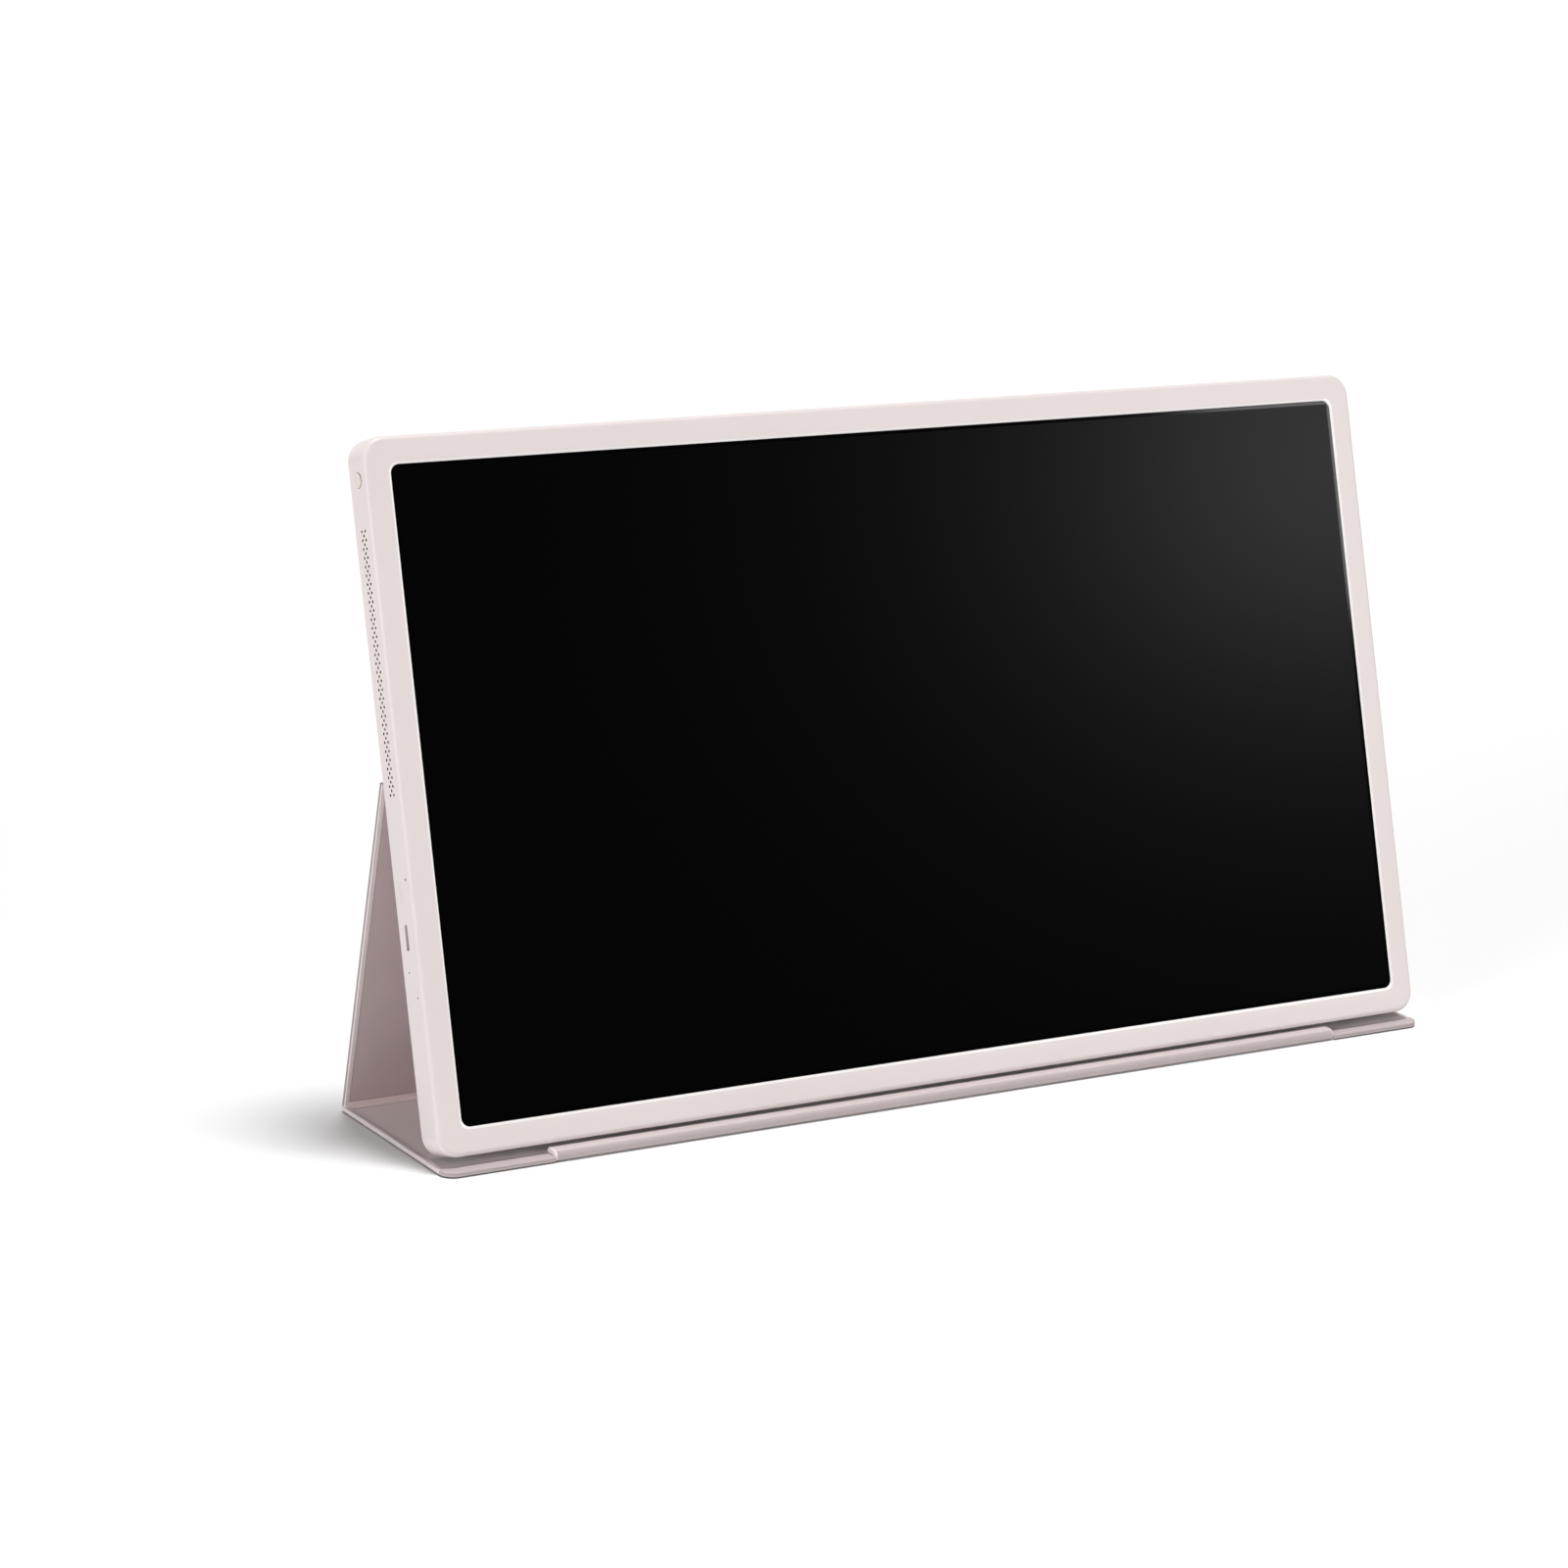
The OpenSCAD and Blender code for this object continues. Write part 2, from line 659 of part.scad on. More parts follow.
module leg_skin() color(leather) in_leg() difference() {
    union() {
        translate([-cover_w / 2, 0, 0]) cube([cover_w, leg_len - fold_slack, panel_t]);
        // Rolled edge about the heel fold
        intersection() {
            translate([-cover_w / 2, 0, panel_t]) rotate([0, 90, 0])
                cylinder(r = panel_t, h = cover_w);
            translate([-cover_w / 2 - over, -panel_t - over, -over])
                cube([cover_w + 2 * over, 2 * panel_t, panel_t + over]);
        }
    }
    leg_pocket(skin_t, panel_t + over, 0);
}

module leg_board() color([0.5, 0.45, 0.4]) in_leg() leg_pocket(board_low, board_high, fit);

module leg_lining() color(suede) in_leg() leg_pocket(board_high, lining_high, fit);

// Base: lies on the floor, with a hollow for the leg's rolled edge and one for the lip's
module in_base() translate([0, -mid_y, 0]) children();

module base_outline() {
    y0 = -base_ahead;
    translate([-cover_w / 2, y0 + base_r]) square([cover_w, heel_back - y0 - base_r]);
    translate([-cover_w / 2 + base_r, y0]) square([cover_w - 2 * base_r, base_r + over]);
    for (x = [-1, 1]) translate([x * (cover_w / 2 - base_r), y0 + base_r]) circle(base_r);
}

module base_pocket(low, high, gap) {
    y0 = lip_y + fold_hem + gap;
    y1 = heel_back - panel_t - crease_wall - gap;
    translate([-cover_w / 2 + hem_w + gap, y0, low])
        cube([cover_w - 2 * hem_w - 2 * gap, y1 - y0, high - low]);
}

module base_skin() color(leather) in_base() difference() {
    linear_extrude(panel_t) base_outline();
    base_pocket(skin_t, panel_t + over, 0);
    // Hollow of the heel fold
    translate([-cover_w / 2 - over, heel_back, panel_t]) rotate([0, 90, 0])
        cylinder(r = panel_t + run, h = cover_w + 2 * over);
    translate([-cover_w / 2 - over, heel_back - panel_t / 2, -over])
        cube([cover_w + 2 * over, panel_t, panel_t + 2 * over]);
    // Hollow of the lip's fold
    translate([-lip_w / 2 - fold_gap, lip_y, panel_t]) rotate([0, 90, 0])
        cylinder(r = panel_t + run, h = lip_w + 2 * fold_gap);
    translate([-lip_w / 2 - fold_gap, -base_ahead - over, -over])
        cube([lip_w + 2 * fold_gap, panel_t * 1.5 + over, panel_t + 2 * over]);
}

module base_board() color([0.5, 0.45, 0.4]) in_base() base_pocket(board_low, board_high, fit);

module base_lining() color(suede) in_base() base_pocket(board_high, lining_high, fit);

// Lip: folded back over the base's front edge, rolled about its fold
module lip_flap(extra) {
    translate([0, lip_y, 0]) rotate([90, 0, 90]) linear_extrude(lip_w - 2 * extra, center = true)
        children();
}

module lip_pocket(gap) lip_flap(lip_pocket_in + gap)
    translate([gap - lip_pocket_front, lip_mid - lip_pocket_t / 2 + gap])
        square([lip_pocket_front + lip_reach - lip_pocket_edge - 2 * gap,
            lip_pocket_t - 2 * gap]);

module lip_skin() color(leather) in_base() difference() {
    lip_flap(0) {
        translate([0, panel_t]) circle(panel_t);
        translate([0, panel_t + lip_gap]) square([lip_reach, panel_t - lip_gap - lip_tip_r]);
        translate([0, panel_t + lip_gap]) square([lip_reach - lip_tip_r, panel_t - lip_gap]);
        translate([lip_reach - lip_tip_r, 2 * panel_t - lip_tip_r]) circle(lip_tip_r);
    }
    lip_pocket(0);
}

module lip_magnets() color(steel) in_base() lip_pocket(seat);

front_bezel();
rear_cover();
case_screws();
cover_glass();
lcd_cell();
optical_sheets();
light_guide();
light_bar();
panel_chassis();
panel_ribbon();
main_board();
processor_shield();
heat_spreader();
battery_cells();
battery_tray();
antennas();
left_speaker();
right_speaker();
left_speaker_seal();
right_speaker_seal();
power_button();
power_switch();
volume_key();
volume_switch();
port_shell();
port_tongue();
port_board();
status_light();
microphones();
plate_skin();
plate_board();
plate_magnets();
plate_lining();
leg_skin();
leg_board();
leg_lining();
base_skin();
base_board();
base_lining();
lip_skin();
lip_magnets();
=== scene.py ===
# %% [markdown]
# # A portable monitor propped up by its folding cover
#
# The object is a slim flat monitor with a pale matte body and a soft cover. The cover's upper
# plate lies on the monitor's back, its leg panel hangs from the plate and stands on the rear end
# of a base panel, and a short lip folds back over the base's front edge.
#
# The construction is packed already, so this lesson only dresses it. Every piece is placed by
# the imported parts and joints, in metres. New pieces are modelled as by hand: a primitive at its
# size, then edit-mode operators, then modifiers.

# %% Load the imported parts
import json
import math

import bmesh
import bpy
from mathutils import Matrix, Vector


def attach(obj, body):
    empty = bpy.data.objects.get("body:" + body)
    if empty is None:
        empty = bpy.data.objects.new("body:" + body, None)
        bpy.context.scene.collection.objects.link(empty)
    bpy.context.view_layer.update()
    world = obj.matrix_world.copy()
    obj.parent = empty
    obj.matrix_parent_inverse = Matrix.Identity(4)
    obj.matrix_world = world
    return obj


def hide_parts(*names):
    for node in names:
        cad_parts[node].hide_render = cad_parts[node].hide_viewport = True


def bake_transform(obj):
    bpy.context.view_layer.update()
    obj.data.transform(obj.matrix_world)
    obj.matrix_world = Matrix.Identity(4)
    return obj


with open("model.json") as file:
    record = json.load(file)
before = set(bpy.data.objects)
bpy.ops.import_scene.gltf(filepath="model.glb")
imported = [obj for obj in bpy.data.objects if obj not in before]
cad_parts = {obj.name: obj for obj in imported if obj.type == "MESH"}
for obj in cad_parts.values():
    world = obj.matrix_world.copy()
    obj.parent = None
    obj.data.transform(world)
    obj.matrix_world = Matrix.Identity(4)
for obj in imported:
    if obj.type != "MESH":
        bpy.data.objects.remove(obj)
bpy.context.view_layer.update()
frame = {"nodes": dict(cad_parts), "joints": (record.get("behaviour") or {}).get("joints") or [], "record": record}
MM = 0.001
joints = {joint["name"]: joint for joint in frame["joints"]}
heel_fold = Vector(joints["stand_fold"]["pos_m"])
top_fold = Vector(joints["back_fold"]["pos_m"])
lip_fold = Vector(joints["lip_fold"]["pos_m"])

# %% [markdown]
# ## The camera
#
# The photograph was taken from the front left, a little above the object, with a long lens. The
# camera could be aimed at a target, but a target can't hold the slight roll of the frame. So its
# three axes are worked out from yaw, pitch and roll, and stand as the columns of a matrix.

# %% Camera at the photograph's viewpoint
CAMERA_PLACE = Vector((-1.32318, -2.01335, 0.77071))
CAMERA_YAW = math.radians(31.63)
CAMERA_PITCH = math.radians(14.27)
CAMERA_ROLL = math.radians(2.17)
CAMERA_LENS = 104.65

ahead = Vector((math.sin(CAMERA_YAW), math.cos(CAMERA_YAW), 0))
across = Vector((math.cos(CAMERA_YAW), -math.sin(CAMERA_YAW), 0))
above = Vector((0, 0, 1))
look = math.cos(CAMERA_PITCH) * ahead - math.sin(CAMERA_PITCH) * above
lifted = math.sin(CAMERA_PITCH) * ahead + math.cos(CAMERA_PITCH) * above
right = math.cos(CAMERA_ROLL) * across + math.sin(CAMERA_ROLL) * lifted
up = math.cos(CAMERA_ROLL) * lifted - math.sin(CAMERA_ROLL) * across

bpy.ops.object.camera_add()
camera = bpy.context.object
camera.name = "photo_camera"
turned = Matrix((right, up, -look)).transposed().to_4x4()
camera.matrix_world = Matrix.Translation(CAMERA_PLACE) @ turned
camera.data.lens = CAMERA_LENS
camera.data.sensor_width = 36
camera.data.clip_end = 100
bpy.context.scene.camera = camera
print("camera", round(CAMERA_PLACE.length, 2), "m from the origin")

# %% [markdown]
# ## Tools of the bench
#
# A piece starts as a primitive, and its faces and edges are picked in code, by their place.
# Picking could be done once by index, but an index changes with every cut, so each pick is a
# test on coordinates instead.

# %% Starting, picking and cutting
NEAR = 0.01  # mm within which two places count as the same


def deselect():
    """Lets go of everything, because an operator acts on all that is selected."""
    if bpy.context.object and bpy.context.object.mode != "OBJECT":
        bpy.ops.object.mode_set(mode="OBJECT")
    bpy.ops.object.select_all(action="DESELECT")


def take(piece):
    """Makes the piece the only selected and active object."""
    deselect()
    piece.select_set(True)
    bpy.context.view_layer.objects.active = piece
    return piece


def settle(piece):
    """Moves the piece's place, turn and size into its mesh."""
    take(piece)
    bpy.ops.object.transform_apply(location=True, rotation=True, scale=True)
    return piece


def block(name, low, high):
    """A block between two corners in mm, the start of most pieces."""
    deselect()
    bpy.ops.mesh.primitive_cube_add(size=1)
    piece = bpy.context.object
    piece.name = name
    piece.scale = [(b - a) * MM for a, b in zip(low, high)]
    piece.location = [(a + b) / 2 * MM for a, b in zip(low, high)]
    return settle(piece)


def pick(kind, test):
    """Selects in edit mode the vertices, edges or faces that pass the test, and counts them."""
    bpy.ops.mesh.select_mode(type=kind)
    bpy.ops.mesh.select_all(action="DESELECT")
    mesh = bmesh.from_edit_mesh(bpy.context.object.data)
    parts = {"VERT": mesh.verts, "EDGE": mesh.edges, "FACE": mesh.faces}[kind]
    picked = [part for part in parts if test(part)]
    for part in picked:
        part.select_set(True)
    bmesh.update_edit_mesh(bpy.context.object.data)
    return len(picked)


def both(edge, test):
    """True if the test holds at both ends of an edge, given in mm."""
    return all(test(vertex.co / MM) for vertex in edge.verts)


def edit(piece):
    take(piece)
    bpy.ops.object.mode_set(mode="EDIT")


def close_edit():
    bpy.ops.object.mode_set(mode="OBJECT")


def extrude(move):
    """Draws the picked faces out by a move in metres, with new sides behind them."""
    bpy.ops.mesh.extrude_region_move(TRANSFORM_OT_translate={"value": move})


def bevel(radius, steps):
    """Rounds the picked edges with a radius in mm."""
    bpy.ops.mesh.bevel(offset=radius * MM, segments=steps, affect="EDGES")


def round_edges(piece, radius, steps, test):
    """Rounds every edge of the piece that passes the test."""
    edit(piece)
    count = pick("EDGE", test)
    bevel(radius, steps)
    close_edit()
    return count


def along(edge, axis):
    """True if an edge runs along the axis, 0 for X, 1 for Y and 2 for Z."""
    run = edge.verts[1].co - edge.verts[0].co
    return abs(run[axis]) > 0.999 * run.length


def sharp(edge):
    """True where two faces meet at more than 50 degrees."""
    return len(edge.link_faces) == 2 and math.degrees(edge.calc_face_angle(0)) > 50


def cut(piece, cutter):
    """Takes the cutter's shape out of the piece."""
    take(piece)
    change = piece.modifiers.new("cut", "BOOLEAN")
    change.solver = "EXACT"
    change.object = cutter
    bpy.ops.object.modifier_apply(modifier=change.name)
    bpy.data.objects.remove(cutter)
    return piece


def join(name, parts):
    """Several objects as one."""
    deselect()
    for part in parts:
        part.select_set(True)
    bpy.context.view_layer.objects.active = parts[0]
    if len(parts) > 1:
        bpy.ops.object.join()
    parts[0].name = name
    return parts[0]


def smooth(piece, angle=35):
    """Shades round edges smoothly and keeps the flats flat."""
    take(piece)
    bpy.ops.object.shade_smooth_by_angle(angle=math.radians(angle))
    weights = piece.modifiers.new("weights", "WEIGHTED_NORMAL")
    weights.keep_sharp = True
    bpy.ops.object.modifier_apply(modifier=weights.name)
    return piece


def faces_out(piece, merge=NEAR):
    """Merges points closer than merge mm and turns every face outwards."""
    edit(piece)
    bpy.ops.mesh.select_all(action="SELECT")
    bpy.ops.mesh.remove_doubles(threshold=merge * MM)
    bpy.ops.mesh.normals_make_consistent(inside=False)
    close_edit()
    return piece


def dress(piece, material, body, nodes=()):
    """Gives a new piece its finish and its body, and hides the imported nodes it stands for."""
    piece.data.materials.clear()
    piece.data.materials.append(material)
    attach(piece, body)
    if nodes:
        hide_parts(*nodes)
    print(piece.name, len(piece.data.polygons), "faces on", body)
    return piece


def paint(piece, finishes, choose):
    """Gives a piece several finishes, and each face the one chosen by its place and normal."""
    piece.data.materials.clear()
    for finish in finishes:
        piece.data.materials.append(finish)
    for face in piece.data.polygons:
        face.material_index = choose(face.center / MM, face.normal)
    used = [face.material_index for face in piece.data.polygons]
    print(piece.name, "faces by finish:", [used.count(k) for k in range(len(finishes))])


print("bench ready")

# %% [markdown]
# ## Finishes
#
# Each finish is a Principled shader fed by a few texture nodes on Object coordinates. A picture
# could be wrapped on instead, but a node pattern has no seams and keeps its scale in metres on
# every piece.

# %% Helpers for node materials
def new_finish(name, roughness=0.5, specular=0.5):
    """An empty finish: its material, its nodes, its links and its shader."""
    material = bpy.data.materials.new(name)
    material.use_nodes = True
    nodes, links = material.node_tree.nodes, material.node_tree.links
    shader = nodes["Principled BSDF"]
    shader.inputs["Roughness"].default_value = roughness
    shader.inputs["Specular IOR Level"].default_value = specular
    return material, nodes, links, shader


def place_node(nodes, links, scale=(1, 1, 1)):
    """Object coordinates, stretched where a pattern has a direction."""
    coordinates = nodes.new("ShaderNodeTexCoord")
    mapping = nodes.new("ShaderNodeMapping")
    mapping.inputs["Scale"].default_value = scale
    links.new(coordinates.outputs["Object"], mapping.inputs["Vector"])
    return mapping.outputs["Vector"]


def noise(nodes, links, place, size, detail=3.0, rough=0.5):
    """Noise whose lumps are about size mm across."""
    texture = nodes.new("ShaderNodeTexNoise")
    texture.inputs["Scale"].default_value = 1 / (size * MM)
    texture.inputs["Detail"].default_value = detail
    texture.inputs["Roughness"].default_value = rough
    links.new(place, texture.inputs["Vector"])
    return texture.outputs["Fac"]


def cells(nodes, links, place, size):
    """Cells about size mm across, for pebbled grain."""
    texture = nodes.new("ShaderNodeTexVoronoi")
    texture.inputs["Scale"].default_value = 1 / (size * MM)
    links.new(place, texture.inputs["Vector"])
    return texture.outputs["Distance"]


def ramp(nodes, links, factor, stops):
    """Colours spread over a factor: stops are (position, colour)."""
    node = nodes.new("ShaderNodeValToRGB")
    for stop, (position, colour) in zip(node.color_ramp.elements, stops):
        stop.position = position
        stop.color = (*colour, 1)
    for position, colour in stops[2:]:
        node.color_ramp.elements.new(position).color = (*colour, 1)
    links.new(factor, node.inputs["Fac"])
    return node.outputs["Color"]


def spread(nodes, links, factor, low, high, start=0, stop=1):
    """A factor that runs from start to stop, as a number from low to high."""
    node = nodes.new("ShaderNodeMapRange")
    node.inputs["From Min"].default_value = start
    node.inputs["From Max"].default_value = stop
    node.inputs["To Min"].default_value = low
    node.inputs["To Max"].default_value = high
    links.new(factor, node.inputs["Value"])
    return node.outputs["Result"]


def multiply(nodes, links, first, second):
    """Two colours multiplied, so that the second tints the first."""
    mix = nodes.new("ShaderNodeMix")
    mix.data_type = "RGBA"
    mix.blend_type = "MULTIPLY"
    mix.inputs["Factor"].default_value = 1
    links.new(first, mix.inputs["A"])
    links.new(second, mix.inputs["B"])
    return mix.outputs["Result"]


def bump(nodes, links, shader, height, depth, strength=1.0, under=None):
    """Relief depth mm deep, on top of another relief if one is given."""
    node = nodes.new("ShaderNodeBump")
    node.inputs["Distance"].default_value = depth * MM
    node.inputs["Strength"].default_value = strength
    links.new(height, node.inputs["Height"])
    if under:
        links.new(under, node.inputs["Normal"])
    links.new(node.outputs["Normal"], shader.inputs["Normal"])
    return node.outputs["Normal"]


def shade(colour, factor):
    return tuple(min(1, channel * factor) for channel in colour)


print("finish helpers ready")

# %% [markdown]
# ### Pale moulded plastic
#
# The body is a warm, faintly pink white with a fine spark-eroded mould texture. A flat colour
# would look like paper, so two noises vary it: a wide one for the moulding's slight unevenness
# and a very fine one as relief and roughness.

# %% Moulded plastic for the body and its buttons
BODY_COLOUR = (0.775, 0.7, 0.688)


def moulded(name, colour, grain=0.35, depth=0.012, roughness=(0.36, 0.44)):
    material, nodes, links, shader = new_finish(name, specular=0.5)
    place = place_node(nodes, links)
    wide = noise(nodes, links, place, 90, detail=2)
    fine = noise(nodes, links, place, grain, detail=2)
    stops = [(0.3, shade(colour, 0.985)), (0.7, shade(colour, 1.012))]
    links.new(ramp(nodes, links, wide, stops), shader.inputs["Base Color"])
    links.new(spread(nodes, links, fine, *roughness), shader.inputs["Roughness"])
    bump(nodes, links, shader, fine, depth)
    return material


body_finish = moulded("pale moulded plastic", BODY_COLOUR)
# a lighter, glossier copy of the body plastic: painted highlight on the window's chamfer
chamfer_painted_highlight_finish = moulded("chamfer with painted highlight", (0.93, 0.9, 0.89), grain=0.2, depth=0.003,
                         roughness=(0.2, 0.26))
button_finish = moulded("button plastic", (0.75, 0.69, 0.63), grain=0.2, depth=0.006)
print("body colour", BODY_COLOUR)

# %% [markdown]
# ### Soft coated leather
#
# The cover is a smooth pinkish leather cloth with a tight pebble grain that only shows close up.
# The grain could be displaced geometry, but it is a few hundredths of a millimetre deep, so cell
# and noise textures drive the relief, a little darker in the creases between pebbles. A paler copy
# of the leather is painted highlight on the turned hems and the rims of the lip's ends, the lip's
# top gets a paler copy than its front as painted light, a darker copy is painted shade on the leg's
# side faces, and a near-black copy is painted contact shadow on the lowest edges. One recipe serves
# for all, with a colour each.

# %% Leather for the cover's outside and hem
LEATHER_COLOUR = (0.5, 0.43, 0.43)
# a paler copy for the lip's top: painted light against its darker front
LIP_TOP_PAINTED_LIGHT_COLOUR = (0.6, 0.52, 0.515)
# a paler copy of the leather: painted highlight on the rounded hems and the lip's end rims
HEM_PAINTED_HIGHLIGHT_COLOUR = (0.86, 0.76, 0.76)
# a darker copy of the leather: painted shade on the leg's side faces
LEG_SIDE_SHADE_COLOUR = (0.32, 0.28, 0.29)
# near black: painted contact shadow on the lowest edges next to the floor
CONTACT_SHADOW_COLOUR = (0.09, 0.08, 0.08)


def leather(name, colour):
    material, nodes, links, shader = new_finish(name, specular=0.4)
    shader.inputs["Sheen Weight"].default_value = 0.08
    shader.inputs["Sheen Roughness"].default_value = 0.4
    place = place_node(nodes, links)
    pebble = cells(nodes, links, place, 0.5)
    fine = noise(nodes, links, place, 0.25, detail=3)
    wide = noise(nodes, links, place, 60, detail=1)
    worn = ramp(nodes, links, wide, [(0.3, shade(colour, 0.985)), (0.7, shade(colour, 1.012))])
    dark = ramp(nodes, links, pebble, [(0.35, (1, 1, 1)), (0.75, (0.97, 0.965, 0.965))])
    links.new(multiply(nodes, links, worn, dark), shader.inputs["Base Color"])
    links.new(spread(nodes, links, wide, 0.5, 0.62), shader.inputs["Roughness"])
    first = bump(nodes, links, shader, fine, 0.015)
    bump(nodes, links, shader, pebble, 0.05, strength=-0.8, under=first)
    return material


leather_finish = leather("soft coated leather", LEATHER_COLOUR)
lip_top_painted_light_finish = leather("lip top with painted light", LIP_TOP_PAINTED_LIGHT_COLOUR)
hem_painted_highlight_finish = leather("hem with painted highlight", HEM_PAINTED_HIGHLIGHT_COLOUR)
leg_side_shade_finish = leather("leg side with painted shade", LEG_SIDE_SHADE_COLOUR)
contact_shadow_finish = leather("painted contact shadow", CONTACT_SHADOW_COLOUR)
print("leather colour", LEATHER_COLOUR)

# %% [markdown]
# ### Microfibre lining
#
# Inside the hem the panels carry a thin suede-like lining. A flat colour would look like card,
# but its nap is a short random fibre, so stretched noise gives fine streaks both ways, and sheen
# lights it at grazing angles as real nap does. The base's lining is a lighter copy as painted
# light, and a ramp along the depth of the base darkens it under the monitor's foot as painted
# shade.

# %% Lining for the inner faces
LINING_COLOUR = (0.62, 0.505, 0.5)
# a lighter copy of the lining: painted light on the base's lining, which sits in the monitor's shade
BASE_LINING_PAINTED_LIGHT_COLOUR = (0.93, 0.81, 0.815)
# places in mm along the base's depth, and how dark the painted shade under the monitor's foot makes the nap there
SHADE_UNDER_MONITOR = ((-56, 0.7), (-48, 0.42), (-41, 0.36), (-37, 1.0))
SHADE_UNDER_MONITOR_TINT = (1, 0.96, 0.93)
SHADE_RAMP_REACH = 100


def nap(name, colour, sheen=0.25, painted_shade=()):
    material, nodes, links, shader = new_finish(name, roughness=0.85, specular=0.15)
    shader.inputs["Sheen Weight"].default_value = sheen
    shader.inputs["Sheen Roughness"].default_value = 0.5
    place = place_node(nodes, links)
    long_way = place_node(nodes, links, scale=(0.25, 1, 1))
    fine = noise(nodes, links, place, 0.18, detail=2)
    fibre = noise(nodes, links, long_way, 0.3, detail=3)
    patch = noise(nodes, links, place, 30, detail=4, rough=0.6)
    stops = [(0.3, shade(colour, 0.955)), (0.7, shade(colour, 1.03))]
    tint = ramp(nodes, links, patch, stops)
    # painted shade on the base's nap under the monitor's foot, darkest just behind the lip
    if painted_shade:
        split = nodes.new("ShaderNodeSeparateXYZ")
        links.new(place, split.inputs["Vector"])
        along_base = spread(nodes, links, split.outputs["Y"], 0, 1,
                            start=-SHADE_RAMP_REACH * MM, stop=SHADE_RAMP_REACH * MM)
        stops = [((y + SHADE_RAMP_REACH) / (2 * SHADE_RAMP_REACH), shade(SHADE_UNDER_MONITOR_TINT, dim))
                 for y, dim in painted_shade]
        tint = multiply(nodes, links, tint, ramp(nodes, links, along_base, stops))
    links.new(tint, shader.inputs["Base Color"])
    first = bump(nodes, links, shader, fine, 0.03)
    bump(nodes, links, shader, fibre, 0.04, under=first)
    return material


lining_finish = nap("microfibre lining", LINING_COLOUR)
base_lining_painted_light_finish = nap("base lining with painted light and shade", BASE_LINING_PAINTED_LIGHT_COLOUR, sheen=0.7, painted_shade=SHADE_UNDER_MONITOR)
print("lining colour", LINING_COLOUR)

# %% [markdown]
# ### Black cover glass
#
# The screen is off, so it is a black sheet with an anti-reflection coat: very little specular,
# and a satin surface over the picture area that spreads the lamp's reflection into a soft glow.
# Round the picture runs a polished black border, where the reflection stays sharp. The border
# could be a piece of its own, but it is printed on the same glass, so the finish marks it by
# place.

# %% Screen glass
PICTURE_W, PICTURE_H = 596.6, 335.8


def screen_glass_finish(name, centre, lean):
    material, nodes, links, shader = new_finish(name, specular=0.012)
    coordinates = nodes.new("ShaderNodeTexCoord")
    mapping = nodes.new("ShaderNodeMapping")
    mapping.vector_type = "TEXTURE"
    mapping.inputs["Location"].default_value = centre
    mapping.inputs["Rotation"].default_value = (math.radians(90) - lean, 0, 0)
    links.new(coordinates.outputs["Object"], mapping.inputs["Vector"])
    split = nodes.new("ShaderNodeSeparateXYZ")
    links.new(mapping.outputs["Vector"], split.inputs["Vector"])
    inside = []
    for axis, size in (("X", PICTURE_W), ("Y", PICTURE_H)):
        away = nodes.new("ShaderNodeMath")
        away.operation = "ABSOLUTE"
        links.new(split.outputs[axis], away.inputs[0])
        near = nodes.new("ShaderNodeMath")
        near.operation = "LESS_THAN"
        near.inputs[1].default_value = size / 2 * MM
        links.new(away.outputs[0], near.inputs[0])
        inside.append(near.outputs[0])
    picture = nodes.new("ShaderNodeMath")
    picture.operation = "MULTIPLY"
    links.new(inside[0], picture.inputs[0])
    links.new(inside[1], picture.inputs[1])
    tint = ramp(nodes, links, picture.outputs[0],
                [(0.0, (0.0002, 0.0002, 0.0002)), (1.0, (0.0004, 0.0004, 0.0004))])
    links.new(tint, shader.inputs["Base Color"])
    links.new(spread(nodes, links, picture.outputs[0], 0.06, 0.18), shader.inputs["Roughness"])
    place = place_node(nodes, links)
    bump(nodes, links, shader, noise(nodes, links, place, 0.12, detail=1), 0.0004)
    return material


print("picture", PICTURE_W, "by", PICTURE_H, "mm")

# %% [markdown]
# ### Plain technical finishes
#
# The pieces inside show only in part views, but each still gets its own material: metals,
# circuit board, foil, foam and films. One recipe with different numbers serves them all.

# %% Finishes for the inside and small hardware
def technical(name, colour, roughness, metallic=0.0, grain=1.0, vary=0.12, stretch=(1, 1, 1)):
    material, nodes, links, shader = new_finish(name)
    shader.inputs["Metallic"].default_value = metallic
    place = place_node(nodes, links, scale=stretch)
    fine = noise(nodes, links, place, grain)
    stops = [(0.25, shade(colour, 1 - vary)), (0.75, shade(colour, 1 + vary))]
    links.new(ramp(nodes, links, fine, stops), shader.inputs["Base Color"])
    spread_low, spread_high = roughness * 0.85, min(1, roughness * 1.15)
    links.new(spread(nodes, links, fine, spread_low, spread_high), shader.inputs["Roughness"])
    bump(nodes, links, shader, fine, 0.01)
    return material


